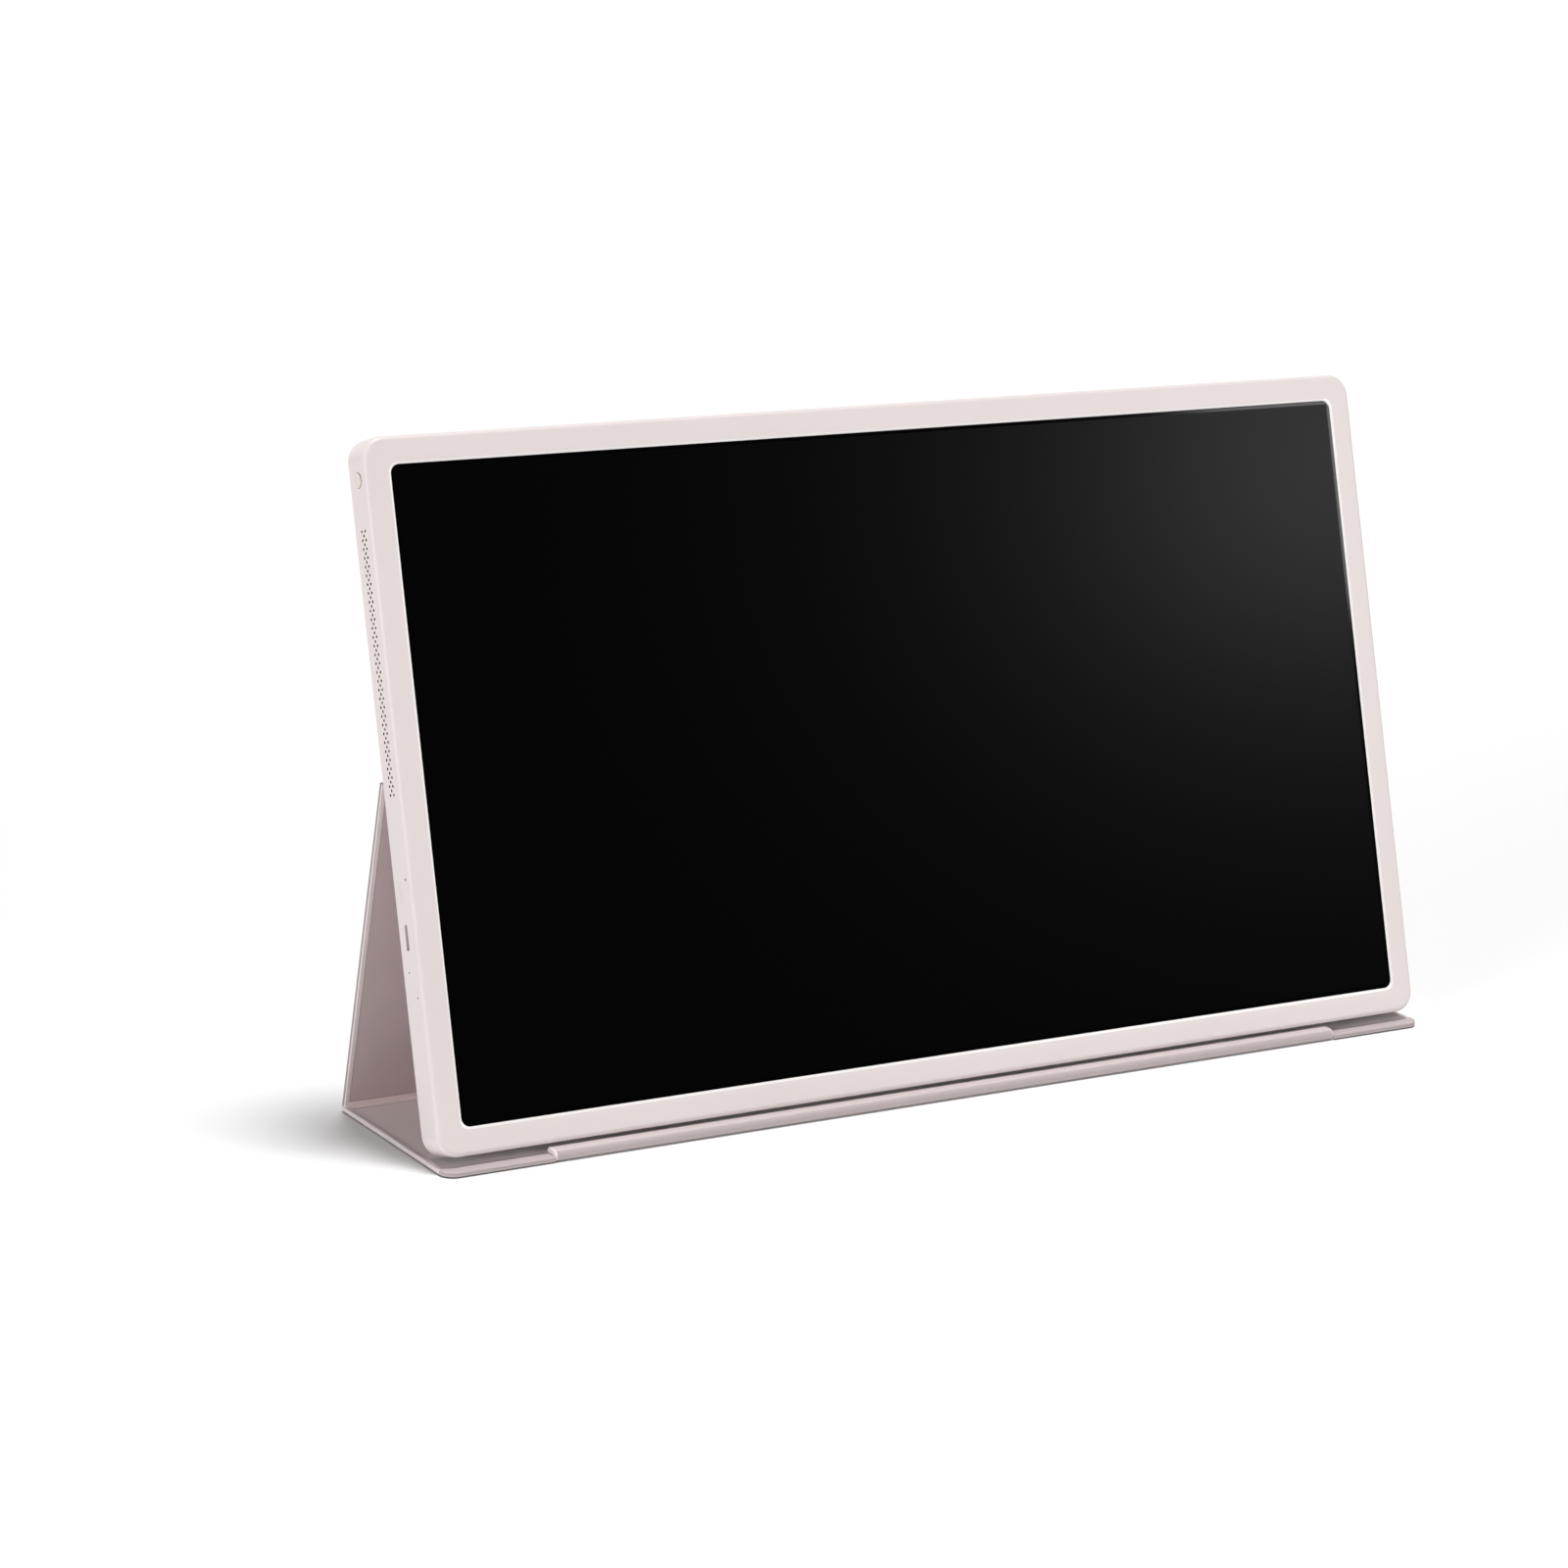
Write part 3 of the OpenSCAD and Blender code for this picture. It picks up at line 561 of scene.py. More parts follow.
BRUSHED = (0.04, 1, 1)
technical_finishes = {
    "panel_cell": technical("screen cell", (0.012, 0.012, 0.014), 0.15, grain=8, vary=0.05),
    "optical_film": technical("optical film", (0.85, 0.86, 0.86), 0.35, grain=2, vary=0.03),
    "guide_acrylic": technical("acrylic guide", (0.78, 0.82, 0.83), 0.1, grain=3, vary=0.03),
    "led_strip": technical("light strip", (0.82, 0.72, 0.36), 0.4, grain=1.5),
    "pressed_metal": technical("pressed steel", (0.6, 0.61, 0.63), 0.35, 1, 0.6, 0.06, BRUSHED),
    "flat_cable": technical("flat cable", (0.62, 0.36, 0.09), 0.35, grain=2),
    "circuit_board": technical("circuit board", (0.02, 0.16, 0.07), 0.38, grain=1.2, vary=0.3),
    "tinned_steel": technical("tinned steel", (0.62, 0.62, 0.63), 0.3, 1, 0.8, 0.05, BRUSHED),
    "heat_sheet": technical("heat spreader", (0.75, 0.76, 0.78), 0.28, 1, 0.9, 0.05, BRUSHED),
    "pouch_foil": technical("battery foil", (0.3, 0.31, 0.34), 0.3, 0.8, 3, 0.08),
    "black_plastic": technical("black plastic", (0.02, 0.02, 0.022), 0.5, grain=0.5),
    "foam_rubber": technical("foam rubber", (0.045, 0.045, 0.05), 0.95, grain=0.8, vary=0.35),
    "screw_steel": technical("screw steel", (0.55, 0.55, 0.57), 0.3, 1, 0.3, 0.06),
    "light_pipe": technical("light pipe", (0.06, 0.055, 0.055), 0.25, grain=0.5, vary=0.04),
    "stiff_board": technical("stiffening board", (0.36, 0.3, 0.24), 0.9, grain=1.2, vary=0.15),
    "magnet_metal": technical("nickel", (0.66, 0.64, 0.6), 0.2, 1, 1.0, 0.04),
}
node_slots = {part["node"]: part["material_slot"] for part in frame["record"]["subparts"]}
outer_finishes = {
    "bezel_plastic": body_finish, "rear_plastic": body_finish, "button_plastic": button_finish,
    "cover_leather": leather_finish, "cover_lining": lining_finish,
}
for node, part in frame["nodes"].items():
    finish = {**technical_finishes, **outer_finishes}.get(node_slots[node])
    if finish:
        part.data.materials.clear()
        part.data.materials.append(finish)
print(len(technical_finishes), "technical finishes")

# %% [markdown]
# ## Where the monitor stands
#
# The body is drawn lying flat, as a maker would: X across, Y up the body and Z out of its front.
# One turn then leans it back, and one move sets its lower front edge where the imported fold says
# it is. Each piece could be turned by itself, but one shared step keeps them all aligned.

# %% Sizes of the body, in mm, and its stance
LEAN = math.radians(16.1)
WINDOW_W, WINDOW_H, WINDOW_R = 600.6, 339.8, 5
BEZEL_W = 14.7
BODY_D = 19
BODY_R = 12
WALL = 2.2
REAR_T = 2
REAR_RIM = 1.3
FOLD_UP = 195
PANEL_T = 3.2
FOLD_GAP = 0.3
FIT = 0.15

BODY_W = WINDOW_W + 2 * BEZEL_W
BODY_H = WINDOW_H + 2 * BEZEL_W
SIDE_X = BODY_W / 2
INNER_X = SIDE_X - WALL
MID_UP = BODY_H / 2
fold_depth = BODY_D + FOLD_GAP + PANEL_T
drop_y = FOLD_UP * math.sin(LEAN) + fold_depth * math.cos(LEAN)
drop_z = FOLD_UP * math.cos(LEAN) - fold_depth * math.sin(LEAN)
front_edge = Vector((0, top_fold.y - drop_y * MM, top_fold.z - drop_z * MM))


def lean_back(piece):
    """Stands a flat-drawn piece of the monitor in its stance."""
    piece.rotation_euler = (math.radians(90) - LEAN, 0, 0)
    piece.location = front_edge
    return settle(piece)


def body_point(x, up, depth):
    """Where a point of the flat drawing is on the standing monitor, in metres."""
    turn = Matrix.Rotation(math.radians(90) - LEAN, 3, "X")
    return front_edge + turn @ Vector((x, up, -depth)) * MM


print("lower front edge at", [round(x / MM, 2) for x in front_edge])

# %% [markdown]
# ## The body shell
#
# The bezel and the side walls are one moulding with round corners, a soft front edge, a crisp
# lit chamfer round the window and a smaller round at the back. It could be lofted from an
# outline, but a block with bevelled edges gives the same rounds with clean even faces. The
# hollow and the window are taken out with cutters, and last come all the small holes.

# %% Bezel and side walls
EDGE_R = 2.6
REAR_EDGE_R = 0.9
CHAMFER_W, CHAMFER_D = 1.2, 0.4
CHAMFER_SHIFT = 0.25
CORNER_STEPS = 12


def rounded_slab(name, width, height, radius, front, back):
    """A slab of the body between two depths, with round corners seen from the front."""
    low = (-width / 2, MID_UP - height / 2, -back)
    high = (width / 2, MID_UP + height / 2, -front)
    piece = block(name, low, high)
    round_edges(piece, radius, CORNER_STEPS, lambda edge: along(edge, 2))
    return piece


def at_back(edge):
    """True for the edges round the body's rear face."""
    return both(edge, lambda p: p.z < NEAR - BODY_D)


shell = rounded_slab("bezel_shell", BODY_W, BODY_H, BODY_R, 0, BODY_D)
round_edges(shell, EDGE_R, 6, lambda edge: both(edge, lambda p: p.z > -NEAR))
round_edges(shell, REAR_EDGE_R, 3, at_back)
hollow = rounded_slab("hollow", BODY_W - 2 * WALL, BODY_H - 2 * WALL, BODY_R - WALL, WALL,
                      BODY_D + 1)
cut(shell, hollow)
rear_seat = rounded_slab("seat", BODY_W - 2 * REAR_RIM, BODY_H - 2 * REAR_RIM,
                         BODY_R - REAR_RIM, BODY_D - REAR_T, BODY_D + 1)
cut(shell, rear_seat)
window = rounded_slab("window", WINDOW_W, WINDOW_H, WINDOW_R, -1, WALL + 1)
cut(shell, window)
funnel = rounded_slab("funnel", WINDOW_W, WINDOW_H, WINDOW_R, -CHAMFER_D, CHAMFER_D)
edit(funnel)
pick("FACE", lambda face: face.normal.z > 0.9)
bpy.ops.transform.resize(value=(1 + 4 * CHAMFER_W / WINDOW_W, 1 + 4 * CHAMFER_W / WINDOW_H, 1),
                         center_override=(0, MID_UP * MM, 0))
bpy.ops.transform.translate(value=(CHAMFER_SHIFT * MM, -CHAMFER_SHIFT * MM, 0))
close_edit()
cut(shell, funnel)
print("body shell", len(shell.data.polygons), "faces")

# %% [markdown]
# ### Speaker holes, button, key and port
#
# The left side carries three staggered columns of speaker holes, a round power button above
# them, and below them a status light, a flush volume key, the port and two pinholes. Each hole
# could be cut alone, but one joined cutter needs one cut. A hole is a twelve-sided rod, made
# once and copied. One long face with a hundred holes in it would be hard to fill with
# triangles, so level cuts between the holes part the side walls first.

# %% Holes through the side walls
HOLE_PITCH = 4.5
HOLE_ROWS = 31
HOLE_COLUMN = 1.95
HOLE_D = 1.6
SPEAKER_MID = 254.5
SPEAKER_DEPTH = 9.1
POWER_UP, POWER_DEPTH, POWER_D = 348, 9, 8
KEY_UP, KEY_L, KEY_W = 137, 11, 3.6
PORT_UP, PORT_L, PORT_W = 114, 13.6, 3.4
PORT_DEPTH = 10.4
STATUS_UP, STATUS_DEPTH, STATUS_D = 143.6, 4.6, 1.4
PINHOLES = ((96, 11.6), (83, 5.2))
PINHOLE_D = 1.0
DISH, PORT_RIM = 0.3, 0.25
PILL_SHARE, PILL_STEPS = 0.998, 8
# heights of the cuts between the openings, and of one through the key
LEVELS = (78, 89.5, 105, 125.5, KEY_UP, 150, 183, 333)


def side_rod(name, diameter, x0, x1, up, depth, sides=24):
    """A round rod along X at a height and a depth of the flat drawing."""
    deselect()
    bpy.ops.mesh.primitive_cylinder_add(vertices=sides, radius=diameter / 2 * MM,
                                        depth=abs(x1 - x0) * MM,
                                        rotation=(0, math.radians(90), 0))
    piece = bpy.context.object
    piece.name = name
    piece.location = Vector(((x0 + x1) / 2, up, -depth)) * MM
    return settle(piece)


def side_pill(name, length, width, x0, x1, up, depth):
    """A bar along X whose section is a pill, long way up the body.

    The two rounds at an end nearly meet, and merging the points between them closes the pill.
    """
    low = (min(x0, x1), up - length / 2, -depth - width / 2)
    high = (max(x0, x1), up + length / 2, -depth + width / 2)
    piece = block(name, low, high)
    round_edges(piece, width / 2 * PILL_SHARE, PILL_STEPS, lambda edge: along(edge, 0))
    return faces_out(piece, merge=2 * NEAR)


def copy_at(piece, move):
    """A copy with its own mesh, moved by some mm."""
    twin = piece.copy()
    twin.data = piece.data.copy()
    bpy.context.collection.objects.link(twin)
    twin.data.transform(Matrix.Translation(Vector(move) * MM))
    return twin


def speaker_places():
    """Height and depth of every speaker hole, the middle column one hole shorter."""
    for column in (-1, 0, 1):
        shift = 0.5 if column == 0 else 0
        for row in range(HOLE_ROWS - (1 if column == 0 else 0)):
            up_body = SPEAKER_MID + (row - (HOLE_ROWS - 1) / 2 + shift) * HOLE_PITCH
            yield up_body, SPEAKER_DEPTH + column * HOLE_COLUMN


def level_cuts(piece, levels):
    """Cuts level lines across a flat-drawn piece, which keep its shape."""
    edit(piece)
    for level in levels:
        bpy.ops.mesh.select_all(action="SELECT")
        bpy.ops.mesh.bisect(plane_co=(0, level * MM, 0), plane_no=(0, 1, 0))
    close_edit()


speaker_levels = [SPEAKER_MID + HOLE_PITCH * (5 * step + 0.25) for step in (-2, -1, 0, 1, 2)]
level_cuts(shell, [*LEVELS, *speaker_levels])
for side in (-1, 1):
    first = side_rod("hole", HOLE_D, side * (INNER_X - 1), side * (SIDE_X + 1), 0, 0, sides=12)
    rods = [copy_at(first, (0, hole_up, -depth)) for hole_up, depth in speaker_places()]
    bpy.data.objects.remove(first)
    cut(shell, join("holes", rods))
outside, inside = -SIDE_X - 1, -INNER_X + 1
openings = [
    side_rod("power", POWER_D + 2 * FIT, outside, inside, POWER_UP, POWER_DEPTH, sides=48),
    side_pill("key", KEY_L + 2 * FIT, KEY_W + 2 * FIT, outside, inside, KEY_UP, PORT_DEPTH),
    side_pill("port", PORT_L, PORT_W, outside, inside, PORT_UP, PORT_DEPTH),
    side_rod("status", STATUS_D, outside, inside, STATUS_UP, STATUS_DEPTH),
]
for hole_up, depth in PINHOLES:
    openings.append(side_rod("pinhole", PINHOLE_D, outside, inside, hole_up, depth))
cut(shell, join("openings", openings))
print("holes a side:", len(list(speaker_places())))

# %% [markdown]
# A real hole has a broken edge that catches light. The round button sits in a shallow dish, so
# its opening gets a wide chamfer, and the port's gets a fine one. The key fills its opening, and
# the pinholes and speaker holes are too small to need any.

# %% Rims of the larger openings
def outer_rim_near(up, depth, reach_up, reach_deep):
    """Test for the sharp outer rim of the opening at a place on the left side."""
    def on_rim(p):
        return p.x < NEAR - SIDE_X and abs(p.y - up) < reach_up and (
            abs(p.z + depth) < reach_deep)
    return lambda edge: sharp(edge) and both(edge, on_rim)


power_rim = outer_rim_near(POWER_UP, POWER_DEPTH, POWER_D, POWER_D)
port_rim = outer_rim_near(PORT_UP, PORT_DEPTH, PORT_L / 2 + 1, PORT_W)
print("rims", round_edges(shell, DISH, 2, power_rim), round_edges(shell, PORT_RIM, 1, port_rim))
faces_out(shell)
smooth(shell)

lean_back(shell)
dress(shell, body_finish, "monitor", ["front_bezel"])
small_holes = [(up, depth, HOLE_D / 2) for up, depth in speaker_places()]
small_holes += [(up, depth, PINHOLE_D / 2) for up, depth in PINHOLES]
flat_again = Matrix.Rotation(LEAN - math.radians(90), 3, "X")
BODY, CHAMFER_HIGHLIGHT, HOLE_WALL_SHADE = range(3)


def shell_choice(p, normal):
    """The chamfer round the window gets a lighter, glossier finish as painted highlight, and the walls of the
    small holes get black plastic as painted shade.
    """
    spot = flat_again @ (p - front_edge / MM)
    in_band = abs(spot.x) < WINDOW_W / 2 + 2 and abs(spot.y - MID_UP) < WINDOW_H / 2 + 2
    if in_band and -CHAMFER_D < spot.z < -NEAR and 0.8 < (flat_again @ normal).z < 0.99:
        return CHAMFER_HIGHLIGHT
    # the small holes' walls get black plastic as painted shade inside the holes
    in_wall = INNER_X + NEAR < abs(spot.x) < SIDE_X - NEAR and abs(normal.x) < 0.2
    if in_wall and any(math.hypot(spot.y - up, spot.z + depth) < radius + 0.05
                       for up, depth, radius in small_holes):
        return HOLE_WALL_SHADE
    return BODY


paint(shell, (body_finish, chamfer_painted_highlight_finish, technical_finishes["black_plastic"]), shell_choice)

# %% [markdown]
# ## Rear cover and its screws
#
# The rear cover drops into the bezel's rim and is held by eight countersunk screws. Its outer
# edge is broken by a small round, so a fine line shows between the two mouldings. A screw is
# modelled once, from a stepped cylinder with a hexagonal socket, and copied.

# %% Rear cover
SCREW_XS = (-245, -82, 82, 245)
BOSS_R, BOSS_GAP = 3.2, 0.6
SCREW_IN = WALL + BOSS_R + BOSS_GAP
SCREW_HEAD_D, SCREW_HEAD_T = 4.4, 1.2
SCREW_D, SCREW_L = 2.4, 6.3
SINK_D, SHANK_HOLE_D = SCREW_HEAD_D + 0.3, 2.7
SOCKET_D, SOCKET_DEEP = 1.5, 0.7
COVER_EDGE_R = 0.35

rear = rounded_slab("back_panel", BODY_W - 2 * (REAR_RIM + FIT), BODY_H - 2 * (REAR_RIM + FIT),
                    BODY_R - REAR_RIM - FIT, BODY_D - REAR_T, BODY_D)
round_edges(rear, COVER_EDGE_R, 2, at_back)
screw_places = [(x, y) for x in SCREW_XS for y in (SCREW_IN, BODY_H - SCREW_IN)]


def stand_rod(name, diameter, top, bottom, x, y, sides=32):
    """A round rod along the depth, between two depths."""
    deselect()
    bpy.ops.mesh.primitive_cylinder_add(vertices=sides, radius=diameter / 2 * MM,
                                        depth=(bottom - top) * MM)
    piece = bpy.context.object
    piece.name = name
    piece.location = Vector((x, y, -(top + bottom) / 2)) * MM
    return settle(piece)


for rod, width, top in (("sinks", SINK_D, BODY_D - SCREW_HEAD_T),
                        ("shanks", SHANK_HOLE_D, BODY_D - REAR_T - 1)):
    rods = [stand_rod(rod, width, top, BODY_D + 1, x, y) for x, y in screw_places]
    cut(rear, join(rod, rods))
faces_out(rear)
lean_back(smooth(rear))
dress(rear, body_finish, "monitor", ["rear_cover"])

# %% Screws
screw = stand_rod("screw", SCREW_HEAD_D, BODY_D - SCREW_HEAD_T, BODY_D, 0, 0)
edit(screw)
pick("FACE", lambda face: face.normal.z > 0.9)
bpy.ops.mesh.inset(thickness=(SCREW_HEAD_D - SCREW_D) / 2 * MM)
extrude((0, 0, SCREW_L * MM))
pick("EDGE", at_back)
bevel(0.3, 3)
close_edit()
socket = stand_rod("socket", SOCKET_D, BODY_D - SOCKET_DEEP, BODY_D + 1, 0, 0, sides=6)
cut(screw, socket)
screws = [copy_at(screw, (x, y, 0)) for x, y in screw_places]
bpy.data.objects.remove(screw)
case_screws = faces_out(join("countersunk_screws", screws))
lean_back(smooth(case_screws))
dress(case_screws, technical_finishes["screw_steel"], "monitor", ["case_screws"])

# %% [markdown]
# ## Cover glass
#
# The glass sits four tenths below the bezel's face, inside the chamfered window. Its front edge
# is ground to a fine round that would catch light on a real pane, so it is bevelled and not left
# sharp.

# %% Glass
GLASS_FRONT, GLASS_T, GLASS_EDGE = 0.4, 1.2, 0.2
glass = rounded_slab("screen_glass", WINDOW_W - 2 * FIT, WINDOW_H - 2 * FIT, WINDOW_R - FIT,
                     GLASS_FRONT, GLASS_FRONT + GLASS_T)
round_edges(glass, GLASS_EDGE, 2, lambda edge: both(
    edge, lambda p: p.z > -NEAR - GLASS_FRONT))
faces_out(glass)
lean_back(smooth(glass))
glass_finish = screen_glass_finish("black cover glass", body_point(0, MID_UP, 0), LEAN)
dress(glass, glass_finish, "monitor", ["cover_glass"])

# %% [markdown]
# ## Button, key and port
#
# The power button is a cap with a shallow dish, its side round the rim painted dark as painted
# shade in the gap round it, with a flange behind the wall and a stem to its switch. The key is a
# flush pill. Both are grown outwards step by step with inset and extrude, which keeps every ring
# of faces concentric.

# %% Power button and volume key
CAP_PROUD, CAP_DISH, CAP_RIM = 0.5, 0.22, 0.7
KEY_PROUD, KEY_DISH, KEY_RIM = 0.05, 0.04, 0.45
KEY_SNUG = 0.1
CAP_EDGE = 0.25
FLANGE_T, FLANGE_LIP = 1.0, 0.9
STEM_L, STEM_D = 1.6, 2.8
SEAT = 0.1


def faces_at(x):
    """Test for the faces that lie square across X at a place in mm."""
    return lambda face: abs(face.calc_center_median().x / MM - x) < NEAR and (
        abs(face.normal.x) > 0.9)


def outer_face(dish, rim, x):
    """Dishes the outer face of a cap, leaving a raised rim with a soft edge."""
    pick("FACE", faces_at(x))
    bpy.ops.mesh.inset(thickness=rim * MM)
    bpy.ops.mesh.inset(thickness=rim * MM)
    bpy.ops.transform.translate(value=(dish * MM, 0, 0))
    pick("EDGE", lambda edge: both(edge, lambda p: abs(p.x - x) < NEAR)
         and any(abs(face.normal.x) < 0.1 for face in edge.link_faces))
    bevel(CAP_EDGE, 3)


cap_x = -SIDE_X - CAP_PROUD
flange_x = -INNER_X + SEAT
cap = side_rod("round_button", POWER_D, cap_x, flange_x, POWER_UP, POWER_DEPTH, sides=64)
edit(cap)
outer_face(CAP_DISH, CAP_RIM, cap_x)
close_edit()
flange = side_rod("flange", POWER_D + 2 * FLANGE_LIP, flange_x, flange_x + FLANGE_T, POWER_UP,
                  POWER_DEPTH, sides=64)
stem = side_rod("stem", STEM_D, flange_x + FLANGE_T, flange_x + FLANGE_T + STEM_L, POWER_UP,
                POWER_DEPTH)
round_button = smooth(join("round_button", [cap, flange, stem]))
lean_back(round_button)
dress(round_button, button_finish, "power_button", ["power_button"])
# the cap's side round its rim gets dark foam rubber as painted shade in the gap round the button
paint(round_button, (button_finish, technical_finishes["foam_rubber"]),
      lambda p, normal: int(abs(normal.x) < 0.5 and p.x < 0.5 - SIDE_X))

key_x = -SIDE_X - KEY_PROUD
key = side_pill("side_key", KEY_L + 2 * KEY_SNUG, KEY_W + 2 * KEY_SNUG, key_x, flange_x,
                KEY_UP, PORT_DEPTH)
edit(key)
outer_face(KEY_DISH, KEY_RIM, key_x)
close_edit()
flange = side_pill("flange", KEY_L + 2 * FLANGE_LIP, KEY_W + 2 * FLANGE_LIP, flange_x,
                   flange_x + FLANGE_T, KEY_UP, PORT_DEPTH)
stem = side_rod("stem", STEM_D, flange_x + FLANGE_T, flange_x + FLANGE_T + STEM_L, KEY_UP,
                PORT_DEPTH)
side_key = smooth(join("side_key", [key, flange, stem]))
lean_back(side_key)
dress(side_key, body_finish, "volume_key", ["volume_key"])

# %% [markdown]
# The port is a drawn metal shell with a rounded mouth and a plastic tongue in it. The shell
# starts as a solid pill, whose outer face is inset and pushed in to leave the wall.

# %% Port shell and tongue
PORT_WALL = 0.6
PORT_LEN = 9.5
MOUTH_R = 0.2
TONGUE_L, TONGUE_T, TONGUE_SIDE, TONGUE_R = 7, 0.8, 2, 0.25
mouth = -INNER_X + SEAT
port = side_pill("port_liner", PORT_L + 2 * PORT_WALL, PORT_W + 2 * PORT_WALL, mouth,
                 mouth + PORT_LEN, PORT_UP, PORT_DEPTH)
edit(port)
pick("FACE", faces_at(mouth))
bpy.ops.mesh.inset(thickness=PORT_WALL * MM)
extrude(((PORT_LEN - PORT_WALL) * MM, 0, 0))
close_edit()
round_edges(port, MOUTH_R, 2, lambda edge: both(edge, lambda p: abs(p.x - mouth) < NEAR))
faces_out(port)
lean_back(smooth(port))
dress(port, technical_finishes["tinned_steel"], "monitor", ["port_shell"])

tongue_back = mouth + PORT_LEN - PORT_WALL
tongue = block("port_blade", (tongue_back - TONGUE_L, PORT_UP - PORT_L / 2 + TONGUE_SIDE,
                              -PORT_DEPTH - TONGUE_T / 2),
               (tongue_back, PORT_UP + PORT_L / 2 - TONGUE_SIDE, -PORT_DEPTH + TONGUE_T / 2))
round_edges(tongue, TONGUE_R, 2, lambda edge: both(
    edge, lambda p: p.x < tongue_back - TONGUE_L + NEAR))
lean_back(smooth(tongue))
dress(tongue, technical_finishes["black_plastic"], "monitor", ["port_tongue"])

# %% [markdown]
# ## The cover: base, heel and leg in one skin
#
# The cover is one skin of leather folded at the heel. It could be two panels with a strip
# between them, but the real skin runs on round the fold, so the base is a block whose rear end
# is spun round the heel crease and then extruded up the leg. Seam lines are cut round the base
# first, so the spin and the extrusion carry them on.

# %% Sizes of the cover, in mm
COVER_INSET = 0.2
BASE_R = 8
HEM_W = 2.8
CREASE_IN, CREASE_WALL = 2.8, 1.2
SKIN_T = 0.8
LINING_DROP, LINING_T = 0.2, 0.6
FOLD_SLACK = 0.6
SEAM_UP = 2.2
SEAM_HALF = 0.13
SEAM_DEPTH = 0.2

COVER_W = BODY_W - 2 * COVER_INSET
HALF_W = COVER_W / 2
FOLD_HEM = PANEL_T + HEM_W
heel_y, heel_z = heel_fold.y / MM, heel_fold.z / MM
lip_y = lip_fold.y / MM
base_front = lip_y - PANEL_T
leg_span = (top_fold - heel_fold).length / MM
LEG_LEN = math.sqrt(leg_span ** 2 - PANEL_T ** 2)
run = top_fold - heel_fold
LEG_ANGLE = math.atan2(run.z, run.y) + math.atan(PANEL_T / LEG_LEN)
leg_way = Vector((0, math.cos(LEG_ANGLE), math.sin(LEG_ANGLE)))
leg_out = Vector((0, math.sin(LEG_ANGLE), -math.cos(LEG_ANGLE)))


def leg_place(point):
    """How far up the leg a point in mm is, and how deep below the leg's inner face."""
    away = Vector((0, point.y - heel_y, point.z - heel_z))
    return away.dot(leg_way), away.dot(leg_out)


print("leg", round(LEG_LEN, 1), "mm at", round(math.degrees(LEG_ANGLE), 1), "degrees")

# %% Base block, seam lines, heel and leg
def seam_lines(piece, origin, normal, face_up):
    """Three lines round a panel, where its two layers of leather meet."""
    edit(piece)
    for shift in (-SEAM_HALF, 0, SEAM_HALF):
        bpy.ops.mesh.select_all(action="SELECT")
        spot = origin + normal * (face_up + shift)
        bpy.ops.mesh.bisect(plane_co=spot * MM, plane_no=normal)
    close_edit()


cover = block("cover_leather", (-HALF_W, base_front, 0), (HALF_W, heel_y, PANEL_T))
round_edges(cover, BASE_R, 10, lambda edge: along(edge, 2) and both(
    edge, lambda p: p.y < base_front + 1))
seam_lines(cover, Vector((0, 0, 0)), Vector((0, 0, 1)), SEAM_UP)
edit(cover)
pick("FACE", lambda face: face.normal.y > 0.99)
bpy.ops.mesh.spin(steps=12, angle=LEG_ANGLE, center=heel_fold, axis=(-1, 0, 0))
end = pick("FACE", lambda face: face.normal.dot(leg_way) > 0.999
           and abs(leg_place(face.calc_center_median() / MM)[0]) < NEAR)
extrude(leg_way * (LEG_LEN - FOLD_SLACK) * MM)
close_edit()
faces_out(cover)
print("end faces of the heel:", end, "top of the leg at",
      round(max(v.co.z for v in cover.data.vertices) / MM, 1))

# %% [markdown]
# Leather folded round a board has soft edges. The outer edges get the larger round and the hem's
# edges a smaller one. The crease inside the heel stays sharp, as the photograph shows a dark
# line there. Then the middle seam line is drawn in, so that the two layers part by a hair.

# %% Soft edges and the seam
OUTER_ROUND, HEM_ROUND = 0.9, 0.6


def on_inner_face(p):
    """True on the base's upper face or the leg's inner face, away from the crease."""
    way, depth = leg_place(p)
    on_base = abs(p.z - PANEL_T) < NEAR and p.y < heel_y - NEAR
    on_leg = abs(depth) < NEAR and way > NEAR
    return on_base or on_leg


def from_crease(p):
    """How far in mm a point is from the heel crease."""
    return math.hypot(p.y - heel_y, p.z - heel_z)


def on_crease(p):
    return from_crease(p) < NEAR


def hem_edge(edge):
    return sharp(edge) and both(edge, lambda p: on_inner_face(p) or on_crease(p)) and not both(
        edge, on_crease)


print("hem edges", round_edges(cover, HEM_ROUND, 3, hem_edge))


def outer_rim(p):
    """True on the base's underside, the heel's outer round or the leg's outer face."""
    way, depth = leg_place(p)
    under_base = p.z < NEAR and p.y < heel_y + NEAR
    round_heel = abs(from_crease(p) - PANEL_T) < NEAR
    return under_base or round_heel or (abs(depth - PANEL_T) < NEAR and way > -NEAR)


print("outer edges", round_edges(cover, OUTER_ROUND, 3, lambda edge: sharp(edge) and both(
    edge, outer_rim)))


def on_seam(p):
    """True on the middle seam line, along the base, round the heel and up the leg."""
    way, depth = leg_place(p)
    drop = PANEL_T - SEAM_UP
    on_base = p.y < heel_y + NEAR and abs(p.z - SEAM_UP) < NEAR
    at_heel = abs(from_crease(p) - drop) < NEAR
    return on_base or at_heel or (way > 0 and abs(depth - drop) < NEAR)


edit(cover)
seam_points = pick("VERT", lambda vertex: on_seam(vertex.co / MM))
bpy.ops.transform.shrink_fatten(value=-SEAM_DEPTH * MM)
close_edit()
print("seam points", seam_points, "width now",
      round(max(v.co.x for v in cover.data.vertices) / MM, 2))

